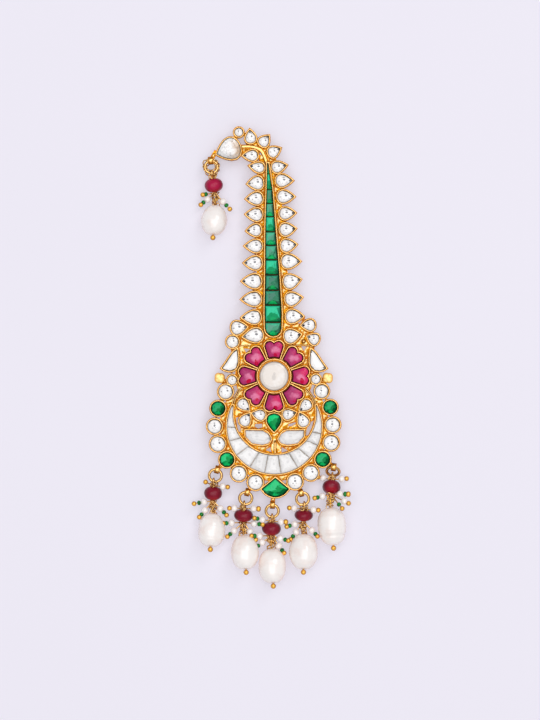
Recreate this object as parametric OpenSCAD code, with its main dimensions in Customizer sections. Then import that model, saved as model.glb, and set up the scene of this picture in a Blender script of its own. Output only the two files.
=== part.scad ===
// Kalgi, a plumed turban brooch with six bead drops, lying on its back.
// X runs across the brooch, Y up its plume and Z out of its face. Sizes are millimetres.
// Outlines are drawn about the middle of the flower. Bearings are degrees, anticlockwise from +X.

/* [Plate] */
// Height of the plate's back over the surface that the brooch lies on
back_z = 2.7; // [2.6:0.1:3.2]
// Thickness of the sheet under the stones
seat_h = 1.3; // [1.1:0.1:1.5]
// Height of the web between the settings over the plate's back
web_h = 1.9; // [1.7:0.1:2.2]
// Height of a setting's rim over the plate's back
rim_h = 2.6; // [2.4:0.1:2.8]
// How far the walls of the petals and the channel stand over the other rims
tall_wall_h = 0.8; // [0.6:0.1:1]
// How far the centre stone's ring stands over the other rims
centre_ring_h = 1.4; // [1.2:0.1:1.6]
// Thickness of that ring
centre_wall = 1.1; // [1:0.05:1.2]
// Wall of a setting round its stone
wall = 0.5; // [0.4:0.05:0.6]
// Half of the widest slit that the web closes
web_reach = 0.55; // [0.45:0.05:0.65]
// Width of the web beside the channel
channel_web = 2.8; // [2.4:0.1:3]
// Width of the web between the crescent and its border of stones
border_web = 2.4; // [2:0.1:2.6]
// Gap between a stone and its setting
stone_gap = 0.1; // [0.09:0.01:0.12]
// Gap between two stones that share a setting
joint_gap = 0.17; // [0.16:0.01:0.2]

/* [Stones] */
// Height of a small stone
stone_h = 1.55; // [1.4:0.05:1.7]
// Height of a flower petal's stone
petal_h = 2.6; // [2.4:0.1:2.8]
// Radius of the flower's centre stone
centre_r = 4.5; // [4.3:0.1:4.7]
// Height of the flower's centre stone
centre_h = 3.3; // [3:0.1:3.5]
// Height of the pear stone at the tip of the plume
tip_h = 2.15; // [2:0.05:2.3]
// Height of the two emeralds under the flower
drop_emerald_h = 1.85; // [1.7:0.05:2]
// Width of the table as a share of the stone
table_share = 0.58; // [0.5:0.02:0.66]

/* [Back stem] */
// Radius of the free pin that goes into the turban
pin_r = 0.9; // [0.8:0.05:0.95]
// Length of the free pin
pin_length = 38; // [34:1:42]
// Length of the bar that is soldered behind the plume
bar_length = 38; // [34:1:42]
// Width of that bar
bar_w = 2.6; // [2.2:0.1:3]

/* [Drops] */
// Radius of a jump ring, to the middle of its wire
ring_r = 2; // [1.9:0.05:2.1]
// Radius of a jump ring's wire
ring_wire = 0.4; // [0.35:0.05:0.4]
// Radius of a pin's eye, to the middle of its wire
eye_r = 0.9; // [0.85:0.05:0.95]
// Radius of an eye's wire
eye_wire = 0.32; // [0.3:0.01:0.32]
// Radius of a pin through a bead
bead_pin_r = 0.26; // [0.24:0.01:0.28]
// Radius of a seed pearl
seed_r = 1.1; // [1:0.05:1.15]
// Radius of a seed pearl's wire
seed_wire = 0.2; // [0.18:0.01:0.22]

/* [Hidden] */

gold = [0.86, 0.62, 0.26];
polki = [0.93, 0.93, 0.92];
emerald = [0.02, 0.5, 0.27];
petal_pink = [0.83, 0.12, 0.42];
ruby = [0.62, 0.03, 0.12];
pearl_white = [0.96, 0.94, 0.89];

// The flower's middle, from the middle of the whole brooch's box
flower_x = 1.06;
flower_y = -5.9;

round_fn = 48;
metal_sides = 16;
ring_sides = 32;
stone_sides = 12;
seat_z = back_z + seat_h;
tall = 20;
// Step between layers that are soldered together, and the least growth that joins outlines
step = 0.1;
sliver = 0.001;
web_trim = 0.06;

// Rings of a cut stone: share of its height, share of its outline
cut_rings = [[0, 0.9], [0.5, 1], [0.84, 0.82], [1, table_share]];

// Channel of the plume: height up the plume, then its left and right edges
channel = [
    [15.2, -2.75, 2.25],
    [20, -2.9, 2.35],
    [33.9, -2.7, 1.45],
    [46.7, -2.65, 0.4],
    [59.5, -2.25, -0.65],
    [67.6, -2.1, -1.9]];
channel_joints = [17.1, 22.6, 27.3, 32.2, 37, 41.6, 45.9, 50.7, 54.9, 59.3, 64.3];
channel_end_r = 2.5;

// Pear stones beside the channel, from the top down: x, y, length, width, bearing of the tip
left_pear_table = [
    [-7.5, 70.2, 4.5, 3.2, 181],
    [-5.4, 66.5, 4.5, 3, 170],
    [-5.9, 61.4, 4.8, 4, 185],
    [-6.2, 56.5, 5, 3.8, 183],
    [-6.3, 51.4, 5, 3.8, 178],
    [-6.4, 46.4, 4.4, 3.6, 185],
    [-6.5, 41.4, 5.2, 3.8, 180],
    [-6.7, 36, 5.4, 4.1, 180],
    [-7.1, 30.2, 5.9, 4.3, 180],
    [-7.2, 24.5, 6, 4.3, 182],
    [-7.2, 18.7, 5.8, 4.1, 182],
    [-6.7, 12.9, 6.2, 4.3, 188]];
right_pear_table = [
    [-7.5, 76.2, 4, 3.2, 96],
    [-3, 74.9, 3.8, 3.2, 50],
    [0.1, 71.5, 4, 3.2, 27],
    [1.6, 66.6, 4.5, 3.3, 12],
    [3.2, 62.2, 5.1, 3.8, 0],
    [3.7, 57.1, 5.1, 3.8, 0],
    [4.2, 51.8, 4.8, 3.6, 3],
    [4.3, 46.7, 4.8, 3.8, 5],
    [4.6, 41.6, 4.8, 3.8, 6],
    [5.3, 36.5, 5.7, 4.3, 0],
    [5.7, 30.2, 5.3, 4.3, 11],
    [6.2, 24.6, 5.1, 4.1, 9],
    [6.5, 19, 5.3, 4.1, 0],
    [5.9, 12.8, 5.2, 4.3, 10]];
shoulder_pear_table = [
    [-11.1, 15.4, 4.9, 4.1, 6],
    [10.9, 16.2, 4.2, 3.4, 183],
    [12.4, 11.9, 3.8, 3.4, 155]];
garden_pear_table = [
    [-9.5, -9.3, 4.3, 3.3, 315],
    [-4.9, -12.3, 4.1, 3.2, 168],
    [-9, -13.8, 4.3, 3.3, 58],
    [9.9, -9.5, 4.3, 3.3, 220],
    [4.9, -12.1, 4.1, 3.1, 14],
    [9.1, -13.9, 4.5, 3.4, 114]];
tip_pear = [-14.6, 72, 7.6, 6.7, 201];
garden_drop = [0, -14.8, 5.6, 4.5, 270];

// Round stones: x, y, radius
shoulder_rounds = [
    [-11.2, 77.6, 1.3],
    [-13.2, 10.9, 1.85],
    [-13.3, -1.3, 1.4],
    [13.3, -1, 1.4]];
border_round_table = [
    [-15.4, -5, 2.2],
    [15.2, -4.8, 2.1],
    [-18.9, -16, 2.2],
    [18.7, -15.5, 2.2],
    [-17.9, -21.6, 2.3],
    [18.2, -21.2, 2.3],
    [-11.2, -31, 2.3],
    [11.7, -30.8, 2.3],
    [-5.9, -33.8, 2.3],
    [6.7, -33.6, 2.3]];
border_emerald_table = [
    [-17.8, -10.3, 2.2],
    [17.9, -9.9, 2.1],
    [-15, -26.6, 2.25],
    [15.5, -26.5, 2.25]];

// Outline of the left three-sided stone beside the flower. The right one is its mirror image
side_triangle = [[-11.8, 8.4], [-12.9, 7.6], [-14.1, 6], [-15.4, 4], [-16.5, 2.5], [-15.7, 2],
    [-14.4, 1.7], [-13, 1.9], [-12, 2.7], [-11.5, 4.2], [-11.5, 6.4]];
// Corners of the left leaf under the flower, and where its mirror stands
leaf_outline = [[-9, -17.3], [-8.9, -19.2], [-7, -21.3], [-3.8, -21.8],
    [-1.8, -21.3], [-1, -20], [-1.9, -18.4], [-3.6, -17.4]];
leaf_mirror_x = 0.5;

// Fan-shaped emerald at the base: its apex, and its round edge
fan_apex = [0.4, -32.5];
fan_centre = [0.4, -33.6];
fan_r = 4.8;
fan_half_angle = 61;

// Crescent: middle and radius of the stones' outer and inner edges, how many degrees its setting
// goes past them, and the bearings of its joints
crescent_out = [0.1, -16.1];
crescent_out_r = 15;
crescent_in = [0.2, -11.8];
crescent_in_r = 13.4;
horn_reach = 1;
crescent_joints = [154, 180.8, 197.8, 217, 238.7, 258, 278.2, 299.7, 318.5, 336.9, 351.8, 386];

// Petals: where they start and end, and the round lobes beside the notch
petal_count = 8;
petal_in = 5.95;
petal_in_half_angle = 17;
lobe_u = 9.55;
lobe_v = 1.4;
lobe_r = 1.5;
notch_u = 10.15;

// Gold knobs beside the flower: x, y
knobs = [[-17.3, -0.6], [17.1, -0.6]];
knob_r = 1.55;

// Sheet round the flower and between the shoulders
flower_web_r = 12.4;
shoulder_web = [[-14, 9.5], [-12.3, 2], [12.3, 2], [13, 10], [11, 16], [7, 17], [-8, 17], [-12, 15]];
// Gaps that are cut through that sheet
pierced_gaps = [
    [[-12.2, -13.2], [-11, -13.1], [-10.6, -17.6], [-11.4, -18]],
    [[11.2, -14.9], [12.7, -14.1], [12, -16.5], [10.9, -18.8], [10.2, -19], [10.3, -17.2]],
    [[-6.1, -15.3], [-3.8, -15.2], [-3.7, -16.3], [-5, -16.7], [-6, -16.2]],
    [[4.6, -15.3], [6.8, -14.7], [6.9, -15.3], [5.6, -16], [4.5, -15.9]],
    [[-2.9, -23.6], [-1.2, -22.6], [-0.8, -24.2]],
    [[2.4, -22.6], [4.5, -23.7], [2.4, -24.4]],
    [[-9.7, 8.8], [-8.9, 7.5], [-7.6, 8.6]],
    [[8.5, 9.6], [9.6, 7.9], [10.4, 9.4]]];

// Curved gold band from the channel's top to the tip pear
ridge_points = [[-2.3, 68.2], [-2.9, 70.1], [-3.9, 71.7], [-5.5, 72.6], [-7.7, 73], [-10.6, 73]];
ridge_w = 1.3;

// Lugs: x, y, bearing of the stem that holds it, bearing and tilt of the jump ring,
// bearing of the bead pin and bearing of the pearl pin
drops = [
    [-18.1, -29.8, 45, 253, 10, 268, 267],
    [-8.5, -37, 51, 255, 10, 268, 274],
    [-0.5, -41, 84, 268, 10, 268, 273],
    [8.6, -37.2, 118, 285, 10, 268, 270],
    [19, -29, 138, 262, 45, 265, 274],
    [-20.2, 68.6, 60, 276, 10, 278, 266]];
// Sizes of each drop: width and length of its ruby bead, then of its big pearl
drop_sizes = [
    [5.8, 4.4, 8.3, 10.9],
    [6.1, 4, 8.6, 11.2],
    [6.1, 4.2, 8.6, 11.2],
    [5.9, 3.6, 8.8, 11.5],
    [5.8, 4.4, 9, 12.2],
    [5.9, 4.5, 8, 9.9]];
lug_z = back_z + 1.6;
lug_r = 1.25;
lug_bore = 0.75;
lug_length = 1.6;
lug_clear = 1.4;
lug_stem = 2.7;
lug_stem_w = 1.2;
wrap_r = 0.55;
wrap_h = 0.4;
wrap_gap = 0.05;
bore_clear = 0.12;
bead_end = 0.495;
eye_out = eye_r + eye_wire;
head_r = 0.85;
// A pearl lies aslant, so its middle is a little higher than its radius
pearl_rise = 0.16;
// Bare pin between a pearl and its eye
pearl_neck = 0.7;

// Stem: where its bar starts, the length of its feet, and how its pin starts and ends
bar_y = 13;
foot_length = 4;
pin_root = 0.5;
pin_trim = 0.02;
pin_taper = 1.2;
pin_end_r = 0.35;

// Seed wires: drop, side of the ruby bead (1 above it, -1 below), bearing, length,
// and the distance of the seed pearl along the wire, or 0 for none
seed_table = [
    [0, -1, 186, 6.2, 2.9], [0, -1, 229, 6.8, 4], [0, -1, 315, 6.3, 3.4],
    [0, 1, 358, 4.4, 3.1], [0, 1, 151, 2.9, 0],
    [1, -1, 180, 5.6, 3.9], [1, -1, 220, 6.9, 4], [1, -1, 356, 6.3, 3.5], [1, -1, 306, 6.8, 3.6],
    [1, 1, 176, 4.3, 3.2], [1, 1, 1, 4.3, 3.2],
    [2, -1, 177, 6.2, 3.8], [2, -1, 215, 5.2, 3.6], [2, -1, 347, 5.7, 3], [2, -1, 308, 6.8, 4],
    [2, 1, 166, 4.8, 3.2], [2, 1, 0, 4.4, 3],
    [3, -1, 194, 5.3, 3], [3, -1, 233, 7, 4.1], [3, -1, 315, 6.3, 3.8],
    [3, 1, 172, 4.6, 3.3], [3, 1, 359, 4.6, 3.1],
    [4, -1, 199, 5.6, 3], [4, -1, 356, 5, 3], [4, -1, 327, 6.4, 5.2], [4, -1, 303, 6.5, 0],
    [4, 1, 0, 4, 3.2], [4, 1, 174, 3.7, 3],
    [5, -1, 187, 3.6, 0], [5, -1, 219, 5.9, 3.1], [5, -1, 314, 7.1, 3.8]];
seed_start = 0.35;
seed_lift = 14;

function turned(p, bearing) = [
    p[0] * cos(bearing) - p[1] * sin(bearing),
    p[0] * sin(bearing) + p[1] * cos(bearing)];
function moved(points, x, y, bearing) = [for (p = points) [x, y] + turned(p, bearing)];
function flipped(points, mirror_x) =
    [for (i = [len(points) - 1:-1:0]) [mirror_x - points[i][0], points[i][1]]];
function middle(points) =
    [for (axis = [0, 1]) [for (p = points) p[axis]] * [for (p = points) 1] / len(points)];
function circle_points(x, y, r, sides) =
    [for (i = [0:sides - 1]) let (a = 360 * i / sides) [x, y] + r * [cos(a), sin(a)]];

// A band of even width along a path
function along(path, i) =
    let (a = path[max(i - 1, 0)], b = path[min(i + 1, len(path) - 1)]) (b - a) / norm(b - a);
function beside(path, i, reach) = path[i] + reach * turned(along(path, i), 90);
function band(path, width) = concat(
    [for (i = [0:len(path) - 1]) beside(path, i, -width / 2)],
    [for (i = [len(path) - 1:-1:0]) beside(path, i, width / 2)]);

// A pear with its tip on +X. The sine product is widest at 0.77
function pear_points(length, width, sides) = [
    for (i = [0:sides - 1])
        let (a = 360 * i / sides)
        [length / 2 * cos(a), width / 2 * sin(a) * sin(a / 2) / 0.77]];
function pear_outline(row, sides) = moved(pear_points(row[2], row[3], sides), row[0], row[1], row[4]);
function round_outline(row, sides) = circle_points(row[0], row[1], row[2], sides);

function lobe(side, bearings) =
    [for (a = bearings) [lobe_u + lobe_r * cos(a), side * lobe_v + lobe_r * sin(a)]];
function petal_outline(i) = moved(
    concat(
        [petal_in * [cos(petal_in_half_angle), -sin(petal_in_half_angle)]],
        lobe(-1, [-95, -60, -30, 0, 35]),
        [[notch_u, 0]],
        lobe(1, [-35, 0, 30, 60, 95]),
        [petal_in * [cos(petal_in_half_angle), sin(petal_in_half_angle)], [petal_in, 0]]),
    0, 0, 90 - 360 * (i - 1) / petal_count);

function channel_left(y) = [lookup(y, [for (row = channel) [row[0], row[1]]]), y];
function channel_right(y) = [lookup(y, [for (row = channel) [row[0], row[2]]]), y];
function channel_foot() = [
    for (a = [180:30:360])
        [(channel[0][1] + channel[0][2]) / 2, channel[0][0]] + channel_end_r * [cos(a), sin(a)]];
function channel_outline() = concat(
    channel_foot(),
    [for (i = [1:len(channel) - 1]) [channel[i][2], channel[i][0]]],
    [for (i = [len(channel) - 1:-1:1]) [channel[i][1], channel[i][0]]]);
function channel_stone(i) =
    let (
        count = len(channel_joints),
        low = i == 0 ? 0 : channel_joints[i - 1] + joint_gap / 2,
        high = i == count ? channel[len(channel) - 1][0] : channel_joints[i] - joint_gap / 2,
        foot = i == 0 ? channel_foot() : [channel_left(low), channel_right(low)])
    concat(foot, [channel_right(high), channel_left(high)]);

function crescent_inner(a) =
    let (shift = crescent_in - crescent_out, along = shift * [cos(a), sin(a)])
    crescent_out + (along + sqrt(pow(crescent_in_r, 2) - shift * shift + along * along)) * [cos(a), sin(a)];
function crescent_outer(a) = crescent_out + crescent_out_r * [cos(a), sin(a)];
// A point between the crescent's inner edge, at 0, and its outer edge, at 1
function crescent_point(a, across) = (1 - across) * crescent_inner(a) + across * crescent_outer(a);
// A part of the crescent, shrunk along the curve about its own middle
function crescent_part(from, to, steps, share = 1) =
    let (mid = (from + to) / 2, half = share * (to - from) / 2)
    concat(
        [for (i = [0:steps]) crescent_point(mid + half * (2 * i / steps - 1), 0.5 + share / 2)],
        [for (i = [steps:-1:0]) crescent_point(mid + half * (2 * i / steps - 1), 0.5 - share / 2)]);
function crescent_steps(i) = i == 0 || i == len(crescent_joints) - 2 ? 5 : 3;
function crescent_stone(i, share) =
    let (half_joint = joint_gap / 2 / crescent_in_r * 180 / PI)
    crescent_part(
        crescent_joints[i] + half_joint, crescent_joints[i + 1] - half_joint, crescent_steps(i), share);

function fan_outline() = concat(
    [fan_apex],
    [for (i = [0:6]) let (a = 270 + fan_half_angle * (i / 3 - 1)) fan_centre + fan_r * [cos(a), sin(a)]]);
function right_triangle() = flipped(side_triangle, 0);
function right_leaf() = flipped(leaf_outline, leaf_mirror_x);

module in_place() {
    translate([flower_x, flower_y, 0]) children();
}

// A cut stone from the outlines of its rings: flat back, girdle, two rows of crown facets and a table
module ringed_stone(outlines, height) {
    count = len(outlines[0]);
    last = len(outlines) - 1;
    points = [
        for (k = [0:last], p = outlines[k])
            [p[0], p[1], seat_z + stone_gap + height * cut_rings[k][0]]];
    faces = concat(
        [[for (i = [0:count - 1]) i]],
        [for (k = [0:last - 1], i = [0:count - 1])
            let (a = k * count + i, b = k * count + (i + 1) % count)
            [a, a + count, b + count, b]],
        [[for (i = [count - 1:-1:0]) last * count + i]]);
    polyhedron(points, faces);
}

module cut_stone(outline, height) {
    centre = middle(outline);
    ringed_stone([for (ring = cut_rings) [for (p = outline) centre + ring[1] * (p - centre)]], height);
}

module pear_stones(table) {
    for (row = table) cut_stone(pear_outline(row, stone_sides), stone_h);
}

module round_stones(table) {
    for (row = table) cut_stone(round_outline(row, stone_sides), stone_h);
}

// The crescent with the reach of its setting past its stones
module crescent_outline() {
    polygon(crescent_part(
        crescent_joints[0] - horn_reach, crescent_joints[len(crescent_joints) - 1] + horn_reach, 40));
}

// Every stone's outline, from which the settings are worked out
module stone_outlines() {
    for (table = [
            left_pear_table, right_pear_table, shoulder_pear_table, garden_pear_table,
            [tip_pear, garden_drop]])
        for (row = table) polygon(pear_outline(row, metal_sides));
    for (table = [shoulder_rounds, border_round_table, border_emerald_table])
        for (row = table) polygon(round_outline(row, metal_sides));
    for (outline = [side_triangle, right_triangle(), leaf_outline, right_leaf(), fan_outline()])
        polygon(outline);
    crescent_outline();
    for (i = [1:petal_count]) polygon(petal_outline(i));
    polygon(channel_outline());
}

module setting_outlines() {
    offset(delta = wall + stone_gap) stone_outlines();
    polygon(circle_points(0, 0, centre_r + centre_wall + step, ring_sides));
    for (knob = knobs) polygon(circle_points(knob[0], knob[1], knob_r, metal_sides));
    polygon(band(ridge_points, ridge_w));
}

// The sheet between the settings: it closes narrow slits, fills the flower, the shoulders, the inside
// of the crescent and the strips beside the channel and the crescent, and is pierced
module web_outline() {
    offset(delta = sliver) difference() {
        union() {
            offset(delta = -web_reach - web_trim, $fn = metal_sides)
                offset(r = web_reach, $fn = metal_sides) setting_outlines();
            polygon(circle_points(0, 0, flower_web_r, 40));
            polygon(circle_points(crescent_in[0], crescent_in[1], crescent_in_r, 40));
            polygon(shoulder_web);
            offset(delta = channel_web) polygon(channel_outline());
            offset(delta = border_web) crescent_outline();
        }
        for (outline = pierced_gaps) polygon(outline);
    }
}

module prism(z, height) {
    translate([0, 0, z]) linear_extrude(height) children();
}

module lug(row) {
    translate([row[0], row[1], lug_z]) {
        rotate([90, 0, row[3]]) cylinder(h = lug_length, r = lug_r, center = true, $fn = round_fn);
        rotate(row[2]) translate([lug_bore + 2 * step, -lug_stem_w / 2, -lug_stem_w / 2])
            cube([lug_stem, lug_stem_w, lug_stem_w]);
    }
}

module lug_hole(row) {
    translate([row[0], row[1], lug_z])
        rotate([90, 0, row[3]])
            cylinder(h = lug_length + lug_clear, r = lug_bore, center = true, $fn = round_fn);
}

module frame() {
    color(gold) in_place() difference() {
        union() {
            prism(back_z, rim_h) offset(delta = sliver) setting_outlines();
            prism(back_z + step, web_h - step) web_outline();
            prism(back_z + 2 * step, rim_h + tall_wall_h - 2 * step)
                offset(delta = wall + stone_gap - step) {
                    for (i = [1:petal_count]) polygon(petal_outline(i));
                    polygon(channel_outline());
                }
            translate([0, 0, back_z + 3 * step])
                cylinder(h = rim_h + centre_ring_h - 3 * step, r = centre_r + centre_wall, $fn = round_fn);
            for (knob = knobs)
                translate([knob[0], knob[1], back_z + rim_h - knob_r / 3])
                    sphere(r = knob_r - step, $fn = round_fn);
            for (row = drops) lug(row);
        }
        prism(seat_z, tall) offset(delta = stone_gap) stone_outlines();
        translate([0, 0, seat_z]) cylinder(h = tall, r = centre_r + stone_gap, $fn = round_fn);
        for (row = drops) lug_hole(row);
    }
}

// The stem: a bar soldered along the plume's back, and the pin that slides into the turban
module turban_prong() {
    color(gold) in_place() {
        for (y = [bar_y, bar_y + bar_length - foot_length])
            translate([-bar_w / 2, y, 2 * pin_r - step])
                cube([bar_w, foot_length, back_z - 2 * pin_r + step]);
        translate([-bar_w / 2, bar_y, 0]) cube([bar_w, bar_length, 2 * pin_r]);
        translate([0, bar_y + pin_root, pin_r]) rotate([90, 0, 0]) {
            cylinder(h = pin_length, r = pin_r - pin_trim, $fn = round_fn);
            translate([0, 0, pin_length])
                cylinder(h = pin_taper, r1 = pin_r - pin_trim, r2 = pin_end_r, $fn = round_fn);
        }
    }
}

module centre_stone() {
    color(polki) in_place() cut_stone(circle_points(0, 0, centre_r, 16), centre_h);
}

module tip_stone() {
    color(polki) in_place() cut_stone(pear_outline(tip_pear, metal_sides), tip_h);
}

module base_emerald() {
    color(emerald) in_place() cut_stone(fan_outline(), drop_emerald_h);
}

module garden_emerald() {
    color(emerald) in_place() cut_stone(pear_outline(garden_drop, stone_sides), drop_emerald_h);
}

module left_leaf_stone() {
    color(polki) in_place() cut_stone(leaf_outline, stone_h);
}

module right_leaf_stone() {
    color(polki) in_place() cut_stone(right_leaf(), stone_h);
}

module ruby_petal(i) {
    color(petal_pink) in_place() cut_stone(petal_outline(i), petal_h);
}

module channel_emeralds() {
    color(emerald) in_place() for (i = [0:len(channel_joints)]) cut_stone(channel_stone(i), stone_h);
}

module border_emeralds() {
    color(emerald) in_place() round_stones(border_emerald_table);
}

module border_rounds() {
    color(polki) in_place() round_stones(border_round_table);
}

module left_pears() {
    color(polki) in_place() pear_stones(left_pear_table);
}

module right_pears() {
    color(polki) in_place() pear_stones(right_pear_table);
}

module crescent_stones() {
    color(polki) in_place()
        for (i = [0:len(crescent_joints) - 2])
            ringed_stone([for (ring = cut_rings) crescent_stone(i, ring[1])], stone_h);
}

module shoulder_stones() {
    color(polki) in_place() {
        pear_stones(shoulder_pear_table);
        round_stones(shoulder_rounds);
        cut_stone(side_triangle, stone_h);
        cut_stone(right_triangle(), stone_h);
    }
}

module garden_pears() {
    color(polki) in_place() pear_stones(garden_pear_table);
}

module torus(r, wire) {
    rotate_extrude($fn = round_fn) translate([r, 0]) circle(r = wire, $fn = round_fn);
}

// A drilled bead along Y, widest at its middle
module drilled_bead(width, length, bore) {
    rotate([90, 0, 0]) rotate_extrude($fn = round_fn)
        polygon(concat(
            [[bore, -length * bead_end]],
            [for (a = [-75:15:75]) [width / 2 * cos(a), length / 2 * sin(a)]],
            [[bore, length * bead_end]]));
}

// Frames along a drop. Each has its origin where one piece hangs in the next, and -Y along the drop
function ring_drop(row) = 2 * ring_r * sin(row[4]);
function bead_reach(i) = drop_sizes[i][1] / 2 + eye_out + wrap_h + wrap_gap;
function bead_pitch(i) = asin((lug_z - ring_drop(drops[i]) - drop_sizes[i][0] / 2) / bead_reach(i));
function link_reach(i) = drop_sizes[i][1] / 2 + wrap_h + eye_r + eye_out + wrap_gap;
function link_z(i) = drop_sizes[i][0] / 2 - link_reach(i) * sin(bead_pitch(i));
function pearl_reach(i) = drop_sizes[i][3] / 2 + eye_out + pearl_neck;
function pearl_pitch(i) = asin((link_z(i) - drop_sizes[i][2] / 2 - pearl_rise) / pearl_reach(i));

module at_ring(i) {
    row = drops[i];
    translate([row[0], row[1], lug_z]) rotate([row[4], 0, row[3] + 90])
        translate([0, -ring_r, 0]) children();
}

module at_bead(i) {
    row = drops[i];
    translate([row[0], row[1], lug_z]) rotate(row[3])
        translate([2 * ring_r * cos(row[4]), 0, -ring_drop(row)])
            rotate(row[5] - row[3] - 270) rotate([bead_pitch(i), 0, 0])
                translate([0, -bead_reach(i), 0]) children();
}

module at_pearl(i) {
    row = drops[i];
    at_bead(i) translate([0, -link_reach(i), 0])
        rotate([-bead_pitch(i), 0, 0]) rotate(row[6] - row[5]) rotate([pearl_pitch(i), 0, 0])
            translate([0, -pearl_reach(i), 0]) children();
}

module jump_ring(i) {
    color(gold) in_place() at_ring(i) torus(ring_r, ring_wire);
}

// Seed wires start beside the pin, so that they pass clear of the linked eyes
module at_seed_wire(row) {
    i = row[0];
    side = row[1];
    translate([0, side * (drop_sizes[i][1] / 2 + wrap_h / 2 + wrap_gap), 0])
        rotate(row[2] - drops[i][5] + 270) rotate([0, -seed_lift, 0])
            translate([seed_start, 0, 0]) rotate([0, 90, 0]) children();
}

// One wire: upper eye, the pin through the ruby bead, lower eye, and the wrapped seed wires
module bead_pin(i) {
    half = drop_sizes[i][1] / 2;
    color(gold) in_place() at_bead(i) {
        translate([0, bead_reach(i), 0]) rotate([0, 90, 0]) torus(eye_r, eye_wire);
        translate([0, -link_reach(i) + eye_r, 0]) torus(eye_r, eye_wire);
        translate([0, bead_reach(i) - eye_r, 0]) rotate([90, 0, 0])
            cylinder(h = bead_reach(i) + link_reach(i) - 3 * eye_r, r = bead_pin_r, $fn = round_fn);
        for (side = [-1, 1])
            translate([0, side * (half + wrap_h / 2 + wrap_gap), 0]) rotate([90, 0, 0])
                cylinder(h = wrap_h, r = wrap_r, center = true, $fn = round_fn);
        for (row = seed_table)
            if (row[0] == i) at_seed_wire(row) cylinder(h = row[3], r = seed_wire, $fn = round_fn);
    }
}

module ruby_bead(i) {
    color(ruby) in_place() at_bead(i)
        drilled_bead(drop_sizes[i][0], drop_sizes[i][1], bead_pin_r + bore_clear);
}

module pearl_pin(i) {
    half = drop_sizes[i][3] / 2;
    color(gold) in_place() at_pearl(i) {
        translate([0, pearl_reach(i), 0]) rotate([0, 90, 0]) torus(eye_r, eye_wire);
        translate([0, pearl_reach(i) - eye_r, 0]) rotate([90, 0, 0])
            cylinder(h = pearl_reach(i) - eye_r + half + head_r, r = bead_pin_r, $fn = round_fn);
        translate([0, -half - head_r - wrap_gap, 0]) sphere(r = head_r, $fn = round_fn);
    }
}

module big_pearl(i) {
    color(pearl_white) in_place() at_pearl(i)
        drilled_bead(drop_sizes[i][2], drop_sizes[i][3], bead_pin_r + bore_clear);
}

module seed_pearls() {
    color(pearl_white) in_place()
        for (row = seed_table)
            if (row[4] > 0)
                at_bead(row[0]) at_seed_wire(row) translate([0, 0, row[4] - seed_start])
                    difference() {
                        sphere(r = seed_r, $fn = round_fn);
                        cylinder(h = 3 * seed_r, r = seed_wire + bore_clear, center = true, $fn = round_fn);
                    }
}

frame();
turban_prong();
centre_stone();
tip_stone();
base_emerald();
garden_emerald();
left_leaf_stone();
right_leaf_stone();
for (i = [1:petal_count])
    ruby_petal(i);
channel_emeralds();
border_emeralds();
border_rounds();
left_pears();
right_pears();
crescent_stones();
shoulder_stones();
garden_pears();
for (i = [1:len(drops)]) {
    jump_ring(i - 1);
    bead_pin(i - 1);
    ruby_bead(i - 1);
    pearl_pin(i - 1);
    big_pearl(i - 1);
}
seed_pearls();
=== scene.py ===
"""Kalgi turban brooch: the look of its gold, stones and bead drops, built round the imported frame."""
import math
import random

import bmesh
import bpy
import numpy as np
from bpy.props import FloatProperty, FloatVectorProperty, IntProperty, PointerProperty
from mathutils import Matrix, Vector, noise
from mathutils.bvhtree import BVHTree


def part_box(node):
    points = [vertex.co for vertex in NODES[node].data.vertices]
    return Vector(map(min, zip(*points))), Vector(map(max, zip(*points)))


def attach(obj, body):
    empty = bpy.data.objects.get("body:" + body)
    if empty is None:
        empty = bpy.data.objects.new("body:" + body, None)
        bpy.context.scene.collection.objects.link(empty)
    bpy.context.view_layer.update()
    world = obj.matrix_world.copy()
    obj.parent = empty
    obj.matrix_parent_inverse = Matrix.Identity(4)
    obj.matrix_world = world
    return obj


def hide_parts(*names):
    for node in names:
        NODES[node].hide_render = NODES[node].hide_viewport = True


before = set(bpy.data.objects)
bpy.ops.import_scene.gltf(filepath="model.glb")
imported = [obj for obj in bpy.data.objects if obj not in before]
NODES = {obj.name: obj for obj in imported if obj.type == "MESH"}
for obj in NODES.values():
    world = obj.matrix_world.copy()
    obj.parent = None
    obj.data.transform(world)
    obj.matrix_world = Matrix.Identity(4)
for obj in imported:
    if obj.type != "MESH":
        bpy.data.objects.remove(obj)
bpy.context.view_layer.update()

bl_info = {
    "name": "Kalgi turban brooch",
    "version": (1, 0, 0),
    "blender": (4, 5, 0),
    "location": "3D View > Sidebar > Kalgi",
    "description": "Builds a plumed turban brooch of gold, uncut stones and bead drops",
    "category": "Object",
}

# Millimetres in a metre
MM = 1000.0
DROPS = range(1, 7)
# The drop at the plume's tip
TIP_DROP = 6
PETALS = [f"ruby_petal_{i}" for i in range(1, 9)]
SPECKLED = ["border_rounds", "left_pears", "right_pears", "shoulder_stones", "garden_pears"]
CLEAR = ["left_leaf_stone", "right_leaf_stone", "crescent_stones"]
BACK_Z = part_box("frame")[0].z * MM
# The web between the settings lies between these heights
WEB_LOW, WEB_HIGH = BACK_Z + 1.8, BACK_Z + 2.0

# Points closer than this, in millimetres, are one point
WELD = 0.002
# A stone's widest ring of points lies within this of half its height
GIRDLE = 0.02
# A pocket's floor lies this far below the centre stone's seat at most, and holds more square millimetres than this
FLOOR_DEPTH, POCKET_LEAST = 0.3, 1.0
# An outline's corner stays sharp where it turns by more degrees than this
CORNER = 48.0
# Gaps between the points of an outline, in millimetres: a rim's, the milled ring's and a stone's
RIM_STEP, RING_STEP, STONE_STEP = 0.28, 0.11, 0.32
# A cut stone reaches this far past its CAD outline, under the rim
LAP = 0.05
# A stone whose half width is more than this has more facets
LARGE_STONE = 2.2
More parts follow.
